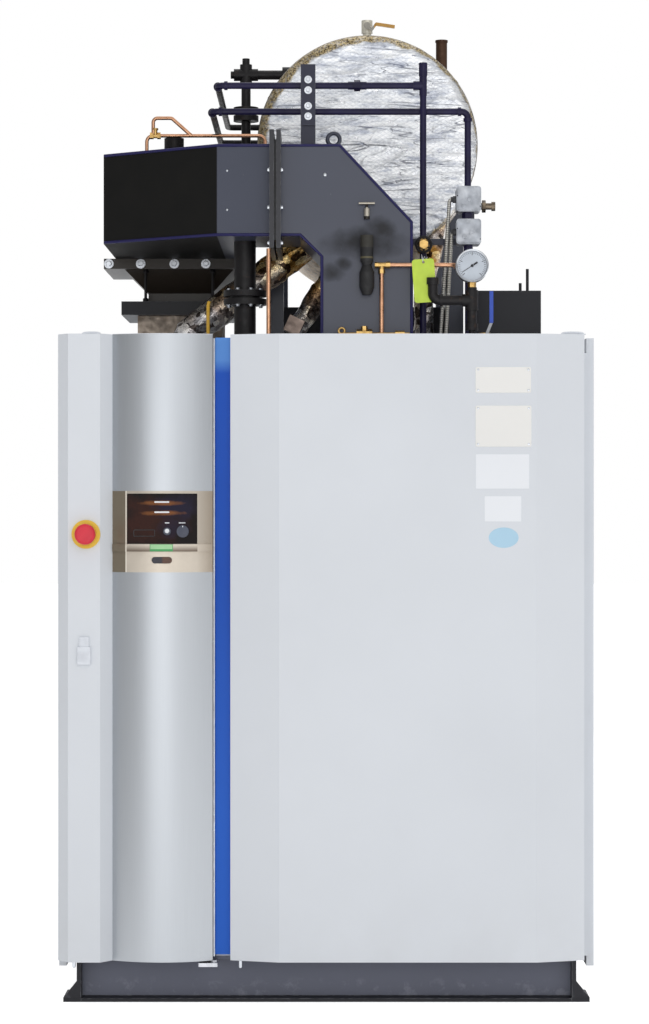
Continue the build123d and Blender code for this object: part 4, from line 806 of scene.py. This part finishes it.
drum_foil_end("drum_foil_front", "drum_front_end", DRUM_Y0, -1, 2)
drum_foil_end("drum_foil_rear", "drum_rear_end", DRUM_Y1, 1, 13)
drum_foil_shell()

# Foil of the lagged pipes: start (x from the drum, drop below its axis), turn (x, rise over the
# deck), y and radius
LAGGED = ((-0.1, 0.225, -0.527, 0.075, -0.54, 0.045), (-0.01, 0.2, -0.227, 0.06, -0.46, 0.03),
          (0.2, 0.2, 0.16, 0.19, -0.54, 0.03))
PIPE_SIDES = 48


def wrapped_pipe(mesh, start, turn, foot, radius, seed):
    """Lagged pipe under loose foil: a bent tube with folds round it."""
    bend = radius * 1.4
    start, turn, foot = Vector(start), Vector(turn), Vector(foot)
    enter = turn + (start - turn).normalized() * bend
    leave = turn + (foot - turn).normalized() * bend
    line = [start.lerp(enter, i / 30) for i in range(30)]
    for i in range(13):
        t = i / 12
        line.append(enter * (1 - t) ** 2 + turn * 2 * t * (1 - t) + leave * t * t)
    line += [leave.lerp(foot, (i + 1) / 12) for i in range(12)]
    first = len(mesh.verts)
    mesh.tube(line, radius, PIPE_SIDES)
    middle = [p for p in line for _ in range(PIPE_SIDES)]
    for at, centre in enumerate(middle, first):
        vert = mesh.verts[at]
        fold = ridge(vert.x * 14, vert.z * 14, seed) ** 2 * 0.005
        fold += noise.noise(vert * 22 + Vector((seed, 0, 0))) * 0.004
        if vert.z > DECK + 0.004:
            mesh.verts[at] = centre + (vert - centre) * (1 + (fold - 0.003) / radius)


lagging = Mesh()
for seed, (start_x, drop, turn_x, rise, y, radius) in enumerate(LAGGED):
    wrapped_pipe(lagging, (DRUM_X + start_x, y, DRUM_Z - drop), (DRUM_X + turn_x, y, DECK + rise),
                 (DRUM_X + turn_x, y, DECK), radius, seed * 5)
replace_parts(lagging.make("pipe_lagging", "foil_warm", slot="foil", degrees=60), "insulated_pipes")

# Bare plates (x0, x1, z0, z1), labels (x, z, width, height) and sticker on the main panel
NAME_PLATES = ((0.395, 0.542, 1.63, 1.698), (0.395, 0.543, 1.487, 1.596))
SCREW_INSET, SCREW = 0.007, [(0.0032, 0), (0.003, 0.0011), (0.0014, 0.0017)]
LABELS = ((0.4665, 1.4215, 0.141, 0.091), (0.4675, 1.3225, 0.097, 0.067))
LABEL_THICK = 0.0006
OVAL_X, OVAL_Z, OVAL_WIDE, OVAL_HIGH, OVAL_SIDES = 0.4695, 1.246, 0.0395, 0.027, 48

plates, screws, labels, oval = Mesh(), Mesh(), Mesh(), Mesh()
for x0, x1, z0, z1 in NAME_PLATES:
    plates.pane(FRONT, x0, x1, z0, z1, 0.0015, 0.004)
    for x in (x0 + SCREW_INSET, x1 - SCREW_INSET):
        for z in (z0 + SCREW_INSET, z1 - SCREW_INSET):
            screws.lathe((x, FRONT - 0.0014, z), OUT, SCREW, 14)
plates.make("name_plates", "plate_ivory", slot="panel_white")
screws.make("plate_screws", "zinc", slot="steel_plain")
for x, z, width, height in LABELS:
    labels.plate((x, FRONT, z), RIGHT, UP, width, height, LABEL_THICK, 0.002, 0.0002)
labels.make("bare_labels", "label_white", slot="panel_white")
oval_rings = []
for share, lift in ((1, 0), (0.99, LABEL_THICK)):
    for i in range(OVAL_SIDES):
        a = i * math.pi / (OVAL_SIDES / 2)
        oval_rings.append((OVAL_X + math.cos(a) * OVAL_WIDE * share, FRONT - lift,
                           OVAL_Z + math.sin(a) * OVAL_HIGH * share))
oval.add(oval_rings, sleeve(2, OVAL_SIDES))
oval.make("oval_sticker", "sticker_blue", slot="panel_white")

# Bolts and nuts; rivets are x, z and radius
BURNER_BOLT_X = (-0.641, -0.547, -0.448, -0.355)
DUCT_BOLT_Z = (2.04, 2.136, 2.237)
BRACKET_BOLT_Z = (2.492, 2.463, 2.42, 2.392)
RIVETS = ((-0.269, 2.238, 0.0032), (-0.269, 2.132, 0.0032), (-0.004, 2.227, 0.0055))
GAS_X, GAS_Y, GAS_BOLT_RING = -0.225, -0.8, 0.047
GAS_FLANGE_UNDER, GAS_FLANGE_TOP = 1.885, 1.925

bolts = Mesh()
for x in BURNER_BOLT_X:
    bolts.bolt((x, -0.31, 2.046), OUT, 0.0145)
for z in DUCT_BOLT_Z:
    bolts.bolt((FLANGE_LEFT, -0.97, z), -RIGHT, 0.008)
    bolts.bolt((FLANGE_RIGHT, -0.97, z), RIGHT, 0.008)
for z in BRACKET_BOLT_Z:
    bolts.bolt((-0.05, -0.9043, z), OUT, 0.0105)
for x, z, radius in RIVETS:
    bolts.lathe((x, DUCT_FACE, z), OUT,
                [(radius, 0), (radius * 0.8, radius * 0.5), (radius * 0.3, radius * 0.8)], 14)
for i in range(8):
    a = math.radians(22.5 + 45 * i)
    x, y = GAS_X + GAS_BOLT_RING * math.cos(a), GAS_Y + GAS_BOLT_RING * math.sin(a)
    bolts.bolt((x, y, GAS_FLANGE_UNDER), -UP, 0.0085)
    bolts.bolt((x, y, GAS_FLANGE_TOP), UP, 0.0085)
bolts.make("bolts", "zinc", slot="steel_plain")

# Dial of the pressure gauge
GAUGE = Vector((0.391, -1.015, 1.975))
DIAL = GAUGE + BACK * 0.0044
DIAL_START, DIAL_SWEEP, DIAL_STEPS, DIAL_R = 225, 270, 32, 0.0365
NEEDLE_ANGLE = 33


def spoke(degrees):
    """Direction on the dial, by its angle from the right."""
    a = math.radians(degrees)
    return RIGHT * math.cos(a) + UP * math.sin(a)


dial, rim, marks = Mesh(), Mesh(), Mesh()
dial.lathe(GAUGE + BACK * 0.0068, OUT, [(0.0395, 0), (0.0395, 0.0022), (0.039, 0.0026)], 48)
dial.make("gauge_dial", "gauge_face", slot="gauge_face")
rim.lathe(GAUGE + BACK * 0.002, OUT, [(0.0445, 0), (0.0445, 0.003), (0.0425, 0.0048),
                                      (0.0398, 0.003), (0.0398, 0)], 48, caps=False)
rim.make("gauge_rim", "zinc", slot="steel_plain")
for i in range(DIAL_STEPS + 1):
    way = spoke(DIAL_START - DIAL_SWEEP * i / DIAL_STEPS)
    reach, width = (0.0085, 0.0016) if i % 8 == 0 else (0.0045, 0.0009)
    marks.plate(DIAL + way * (DIAL_R - reach / 2), way.cross(OUT), way, width, reach,
                0.0004, 0.0003, 0.0001)
needle = spoke(NEEDLE_ANGLE)
for reach, width, length in ((-0.015, 0.0016, 0.034), (0.011, 0.0048, 0.012)):
    marks.plate(GAUGE + BACK * 0.0035 + needle * reach, needle.cross(OUT), needle, width, length,
                0.0008, 0.0007, 0.0002)
marks.lathe(DIAL, OUT, [(0.004, 0), (0.004, 0.002), (0.0025, 0.003)], 18)
marks.make("gauge_marks", "black_plastic", slot="black_plastic")

# Blank tag on its wire, hung from the sensing riser
TAG = Vector((0.263, -0.995, 1.936))
TAG_TILT = Matrix.Rotation(math.radians(-4), 3, "Y")
TAG_HOLE = 0.05

tag, eyelet, wire = Mesh(), Mesh(), Mesh()
tag.plate(TAG, TAG_TILT @ RIGHT, TAG_TILT @ UP, 0.06, 0.117, 0.001, 0.008, 0.0003)
tag.make("blank_tag", "tag_lime", slot="stop_yellow")
eyelet.lathe(TAG + TAG_TILT @ Vector((0.001, -0.001, TAG_HOLE)), OUT,
             [(0.0036, 0), (0.0034, 0.0006), (0.002, 0.0008)], 20)
eyelet.make("tag_eyelet", "transformer_steel", slot="steel_plain")
top = TAG + TAG_TILT @ Vector((0, 0, TAG_HOLE))
wire.tube(smooth_path([top + OUT * 0.002, top + Vector((-0.004, -0.004, 0.02)), (0.258, -0.94, 2.0),
                       (0.262, -0.897, 2.012), (0.2735, -0.887, 2.012), (0.27, -0.93, 2.0),
                       top + Vector((0.004, 0.003, 0.015)), top + BACK * 0.002]), 0.0009, 8)
wire.make("tag_wire", "zinc", slot="steel_plain")

# Hooks on the panel tops, locating pins below
HOOK_Y, PIN_Y = -1.05, -1.07
HOOK_RISE = ((-1, -0.001), (-0.8, 0.0045), (0, 0.006), (0.8, 0.0045), (1, -0.001))

for name, x0, x1, body in (("door_hook", -0.652, -0.603, DOOR), ("panel_hook", 0.627, 0.687, ROOT)):
    mid, half = (x0 + x1) / 2, (x1 - x0) / 2
    hook = Mesh()
    arch = [(mid + half * u, HOOK_Y, PANEL_TOP + lift) for u, lift in HOOK_RISE]
    hook.tube(smooth_path(arch), 0.003, 10)
    hook.plate((mid, HOOK_Y, PANEL_TOP), RIGHT, BACK, (x1 - x0) * 1.15, 0.022, 0.002, 0.004)
    hook.make(name, "panel_white", body, slot="panel_white")
for name, x, body in (("door_pin", -0.672, DOOR), ("panel_pin", -0.229, ROOT)):
    pin = Mesh()
    pin.lathe((x, PIN_Y, PANEL_FOOT), -UP, [(0.005, 0), (0.005, 0.016), (0.003, 0.019)], 16)
    pin.make(name, "zinc", body, slot="steel_plain")

# Folded seams along the edges of the duct and the windbox
SEAM = 0.0042
DUCT_INNER, DUCT_OUTER = -0.0125, 0.2305
WINDBOX_END = (-0.6175, DUCT_FACE + 0.2117)

seams = Mesh()
for line in (((FLANGE_RIGHT, DUCT_TOP), (0.036, DUCT_TOP), (DUCT_OUTER, 2.099), (DUCT_OUTER, DECK)),
             ((FLANGE_RIGHT, DUCT_UNDER), (-0.071, DUCT_UNDER), (DUCT_INNER, 2.0065),
              (DUCT_INNER, DECK))):
    seams.tube([(x, DUCT_FACE, z) for x, z in line], SEAM, 10)
for z in (DUCT_TOP, DUCT_UNDER):
    seams.tube([(*WINDBOX_END, z), (WINDBOX_CORNER, DUCT_FACE, z), (FLANGE_LEFT, DUCT_FACE, z)],
               SEAM, 10)
seams.make("sheet_seams", "seam_navy", slot="duct_paint")

# Control panel on the door: bare label, recess insert, lights and display behind the window
LABEL_HALF, LABEL_STEPS = 0.0005, 12
DISPLAY_X0, DISPLAY_X1, DISPLAY_Z0, DISPLAY_Z1, DISPLAY_EDGE = -0.513, -0.456, 1.249, 1.267, 0.0015


def column_face(x, proud):
    """Y of the door column's curved face at x, moved forward by proud."""
    return FRONT - proud + COLUMN_R - math.sqrt(COLUMN_R ** 2 - (x - COLUMN_MID) ** 2)


def curved_label(name, x0, x1, z0, z1, proud, material):
    """Thin label that follows the column's curve."""
    xs = [x0 + (x1 - x0) * i / LABEL_STEPS for i in range(LABEL_STEPS + 1)]
    verts = [(x, column_face(x, proud + lift), z)
             for lift in (LABEL_HALF, -LABEL_HALF) for z in (z0, z1) for x in xs]
    row = len(xs)
    low, high, back_low, back_high = (row * k for k in range(4))
    faces = []
    for i in range(LABEL_STEPS):
        for a, b in ((low, high), (back_high, back_low), (high, back_high), (back_low, low)):
            faces.append((a + i, a + i + 1, b + i + 1, b + i))
    faces += [(low, high, back_high, back_low),
              (back_low - 1, high - 1, back_high - 1, back_high + row - 1)]
    label = Mesh()
    label.add(verts, faces)
    label.make(name, material, DOOR, slot="panel_white")


curved_label("ledge_label", -0.468, -0.407, 1.2095, 1.2285, 0.005, "label_green")
curved_label("ledge_label_field", -0.4665, -0.4085, 1.2155, 1.2275, 0.0055, "label_mint")
insert, bars, display = Mesh(), Mesh(), Mesh()
insert.plate((COLUMN_MID, FRONT + 0.005, 1.1862), RIGHT, UP, 0.054, 0.0172, 0.0008, 0.0084, 0.0003)
insert.make("recess_insert", "pill_dark", DOOR, slot="black_plastic")
for z in (1.3405, 1.3135):
    bars.plate((COLUMN_MID - 0.001, FASCIA, z), RIGHT, UP, 0.04, 0.0042, 0.0006, 0.002, 0.0002)
for x0, x1, z0, z1 in ((DISPLAY_X0, DISPLAY_X1, DISPLAY_Z1 - DISPLAY_EDGE, DISPLAY_Z1),
                       (DISPLAY_X0, DISPLAY_X1, DISPLAY_Z0, DISPLAY_Z0 + DISPLAY_EDGE),
                       (DISPLAY_X0, DISPLAY_X0 + DISPLAY_EDGE, DISPLAY_Z0, DISPLAY_Z1),
                       (DISPLAY_X1 - DISPLAY_EDGE, DISPLAY_X1, DISPLAY_Z0, DISPLAY_Z1)):
    display.pane(FASCIA, x0, x1, z0, z1, 0.0008, 0.0005, 0.0002)
display.make("display_frame", "black_plastic", DOOR, slot="black_plastic")
for x, reach in ((-0.4236, 0.012), (-0.384, 0.018)):
    bars.plate((x, FASCIA, 1.285), RIGHT, UP, reach, 0.0026, 0.0006, 0.001, 0.0002)
bars.lathe((-0.4236, -1.084, 1.2635), OUT, [(0.0062, 0), (0.0056, 0.0014), (0.0034, 0.0024)], 24)
bars.plate((-0.3816, -1.0924, 1.2755), RIGHT, UP, 0.0022, 0.0036, 0.0005, 0.0006, 0.0001)
bars.make("window_lights", "label_white", DOOR, slot="panel_white")

# Covers, bosses and glands of the two pressure switches; bosses and pins by their share of a face
SWITCH_LEFT, SWITCH_W, SWITCH_H = 0.3535, 0.067, 0.069
SWITCH_FACE, COVER_THICK = -0.922, 0.0016
COVER_FACE = SWITCH_FACE - COVER_THICK
BOSS = [(0.0062, 0), (0.0058, 0.0012), (0.0025, 0.0016)]
GLAND = [(0.0095, 0), (0.0095, 0.008), (0.0072, 0.01), (0.0072, 0.015)]

covers, bosses, glands = Mesh(), Mesh(), Mesh()
for z, spots in ((2.131, ((0.52, 0.46), (0.3, 0.2))), (2.042, ((0.6, 0.47), (0.33, 0.3)))):
    middle = z + SWITCH_H / 2
    covers.plate((SWITCH_LEFT + SWITCH_W / 2, SWITCH_FACE, middle), RIGHT, UP, 0.061, 0.063,
                 COVER_THICK, 0.006, 0.0006)
    for u, v in spots:
        bosses.lathe((SWITCH_LEFT + SWITCH_W * u, COVER_FACE, z + SWITCH_H * v), OUT, BOSS, 20)
    glands.lathe((SWITCH_LEFT, -0.9005, middle), -RIGHT, GLAND, 6)
    for x, v in ((0.356, 0.62), (0.418, 0.2)):
        glands.lathe((x, COVER_FACE, z + SWITCH_H * v), OUT, [(0.0018, 0), (0.0014, 0.001)], 10)
covers.make("switch_covers", "cast_alloy", slot="cast_alloy")
bosses.make("switch_bosses", "cast_alloy", slot="cast_alloy")
glands.make("switch_glands", "black_plastic", slot="black_plastic")

# Pilot valve over the windbox, studs under the burner flange, yellow tube by the gas pipe
PILOT_Y, PILOT_Z = -0.67, 2.372
STUD_Y, STUD_FOOT, STUD_TOP_NUT = -0.288, 1.936, 2.021
TUBE_X, TUBE_Y = -0.327, -0.8

pilot, studs, tube = Mesh(), Mesh(), Mesh()
pilot.lathe((-0.496, PILOT_Y, PILOT_Z), RIGHT, [(0.0095, 0), (0.0095, 0.01), (0.007, 0.0105),
                                                (0.007, 0.02), (0.0095, 0.0205), (0.0095, 0.03)], 6)
pilot.lathe((-0.481, PILOT_Y, PILOT_Z), UP,
            [(0.006, 0), (0.006, 0.016), (0.0085, 0.0165), (0.0085, 0.021)], 12)
pilot.make("pilot_valve", "brass", slot="brass")
for x in (-0.534, -0.336):
    studs.lathe((x, STUD_Y, STUD_FOOT), UP, [(0.0045, 0), (0.0045, 0.095)], 12)
    for z in (STUD_FOOT, STUD_TOP_NUT):
        studs.lathe((x, STUD_Y, z), UP, [(0.009, 0), (0.009, 0.008), (0.0075, 0.01)], 6)
studs.make("burner_studs", "pipe_iron", slot="pipe_iron")
tube.tube(smooth_path([(TUBE_X, TUBE_Y, DECK), (TUBE_X, TUBE_Y, 1.82), (-0.3268, TUBE_Y, 1.88),
                       (-0.324, -0.799, 1.896)]), 0.0047, 14)
tube.make("yellow_tube", "tube_yellow", slot="stop_yellow")

# Stage: floor, lights, sky and camera
FLOOR = 40.0
FLOOR_GLOW = 0.72
SKY_STOPS = ((0.0, 0.5), (0.08, 0.55), (0.27, 0.78), (0.42, 1.0), (0.7, 1.0), (0.9, 0.75),
             (1.0, 0.6))
SKY_LIGHT, SKY_MIRRORED = 0.86, 0.66
LENS, SENSOR = 92.87, 36.0
CAMERA_PLACE = (-0.0053, -8.1, 1.314)


def floor_material():
    """Pale matt floor; rays that show it see it a little lighter, so that it joins the backdrop."""
    g = Graph("floor", 0.9, specular=0.1)
    g.colour((0.9, 0.9, 0.9, 1))
    path = g.node("ShaderNodeLightPath").outputs
    seen = g.greatest([path["Is Camera Ray"], path["Is Glossy Ray"]])
    side = g.remap(g.axis("X"), -2.5, 0.0, 0.1, FLOOR_GLOW)
    bright = g.greatest([side, g.times(path["Is Camera Ray"], FLOOR_GLOW)])
    glow = g.node("ShaderNodeEmission")
    g.feed(glow, "Strength", g.times(seen, bright))
    both = g.node("ShaderNodeAddShader")
    g.link(g.shader.outputs[0], both.inputs[0])
    g.link(glow.outputs[0], both.inputs[1])
    g.link(both.outputs[0], g.tree.nodes["Material Output"].inputs["Surface"])


floor_material()
floor_mesh = bpy.data.meshes.new("floor")
floor_mesh.from_pydata([(x * FLOOR, y * FLOOR, 0) for x, y in ((-1, -1), (1, -1), (1, 1), (-1, 1))],
                       [], [(0, 1, 2, 3)])
floor_mesh.materials.append(MATERIALS["floor"])
floor = bpy.data.objects.new("floor", floor_mesh)
bpy.context.scene.collection.objects.link(floor)


def sky():
    """White behind the object; as light, a soft room that is darker to the left."""
    world = bpy.data.worlds.new("studio")
    bpy.context.scene.world = world
    world.use_nodes = True
    n = Nodes(world.node_tree, "Generated")
    light = n.tree.nodes["Background"]
    ramp = n.node("ShaderNodeValToRGB")
    n.link(n.remap(n.axis("X"), -1, 1), ramp.inputs[0])
    stops = ramp.color_ramp.elements
    stops.remove(stops[1])
    for i, (place, level) in enumerate(SKY_STOPS):
        stop = stops[0] if i == 0 else stops.new(place)
        stop.position = place
        stop.color = (level, level, level, 1)
    n.link(ramp.outputs[0], light.inputs["Color"])
    path = n.node("ShaderNodeLightPath").outputs
    n.feed(light, "Strength", n.remap(path["Is Glossy Ray"], 0, 1, SKY_LIGHT, SKY_MIRRORED))
    white = n.node("ShaderNodeBackground")
    n.feed(white, "Color", (1, 1, 1, 1))
    n.feed(white, "Strength", 1.0)
    mix = n.node("ShaderNodeMixShader")
    n.link(n.greatest([path["Is Camera Ray"], path["Is Transmission Ray"]]), mix.inputs[0])
    n.link(light.outputs[0], mix.inputs[1])
    n.link(white.outputs[0], mix.inputs[2])
    n.link(mix.outputs[0], n.tree.nodes["World Output"].inputs["Surface"])


sky()


def lamp(name, place, aim, size, power):
    """Rectangular light at a place, turned to a point."""
    data = bpy.data.lights.new(name, "AREA")
    data.shape = "RECTANGLE"
    data.size, data.size_y = size
    data.energy = power
    obj = bpy.data.objects.new(name, data)
    obj.location = place
    obj.rotation_euler = (Vector(aim) - Vector(place)).to_track_quat("-Z", "Y").to_euler()
    bpy.context.scene.collection.objects.link(obj)


lamp("key", (1.6, -7.0, 3.6), (0.1, 0, 1.5), (4.0, 3.0), 38)
lamp("fill", (-1.2, -7.5, 1.2), (0, 0, 0.9), (3.0, 3.0), 40)
lamp("top", (0.2, 0.5, 6.0), (0, 0, 1.5), (4.0, 4.0), 40)
lamp("rear", (1.0, 7.0, 4.0), (0, 0, 1.4), (5.0, 3.0), 70)

camera_data = bpy.data.cameras.new("camera")
camera_data.lens, camera_data.sensor_width = LENS, SENSOR
camera = bpy.data.objects.new("camera", camera_data)
camera.location = CAMERA_PLACE
camera.rotation_euler = (math.radians(90), 0, 0)
bpy.context.scene.collection.objects.link(camera)
bpy.context.scene.camera = camera
bpy.context.scene.view_settings.view_transform = "Standard"

bpy.context.view_layer.update()
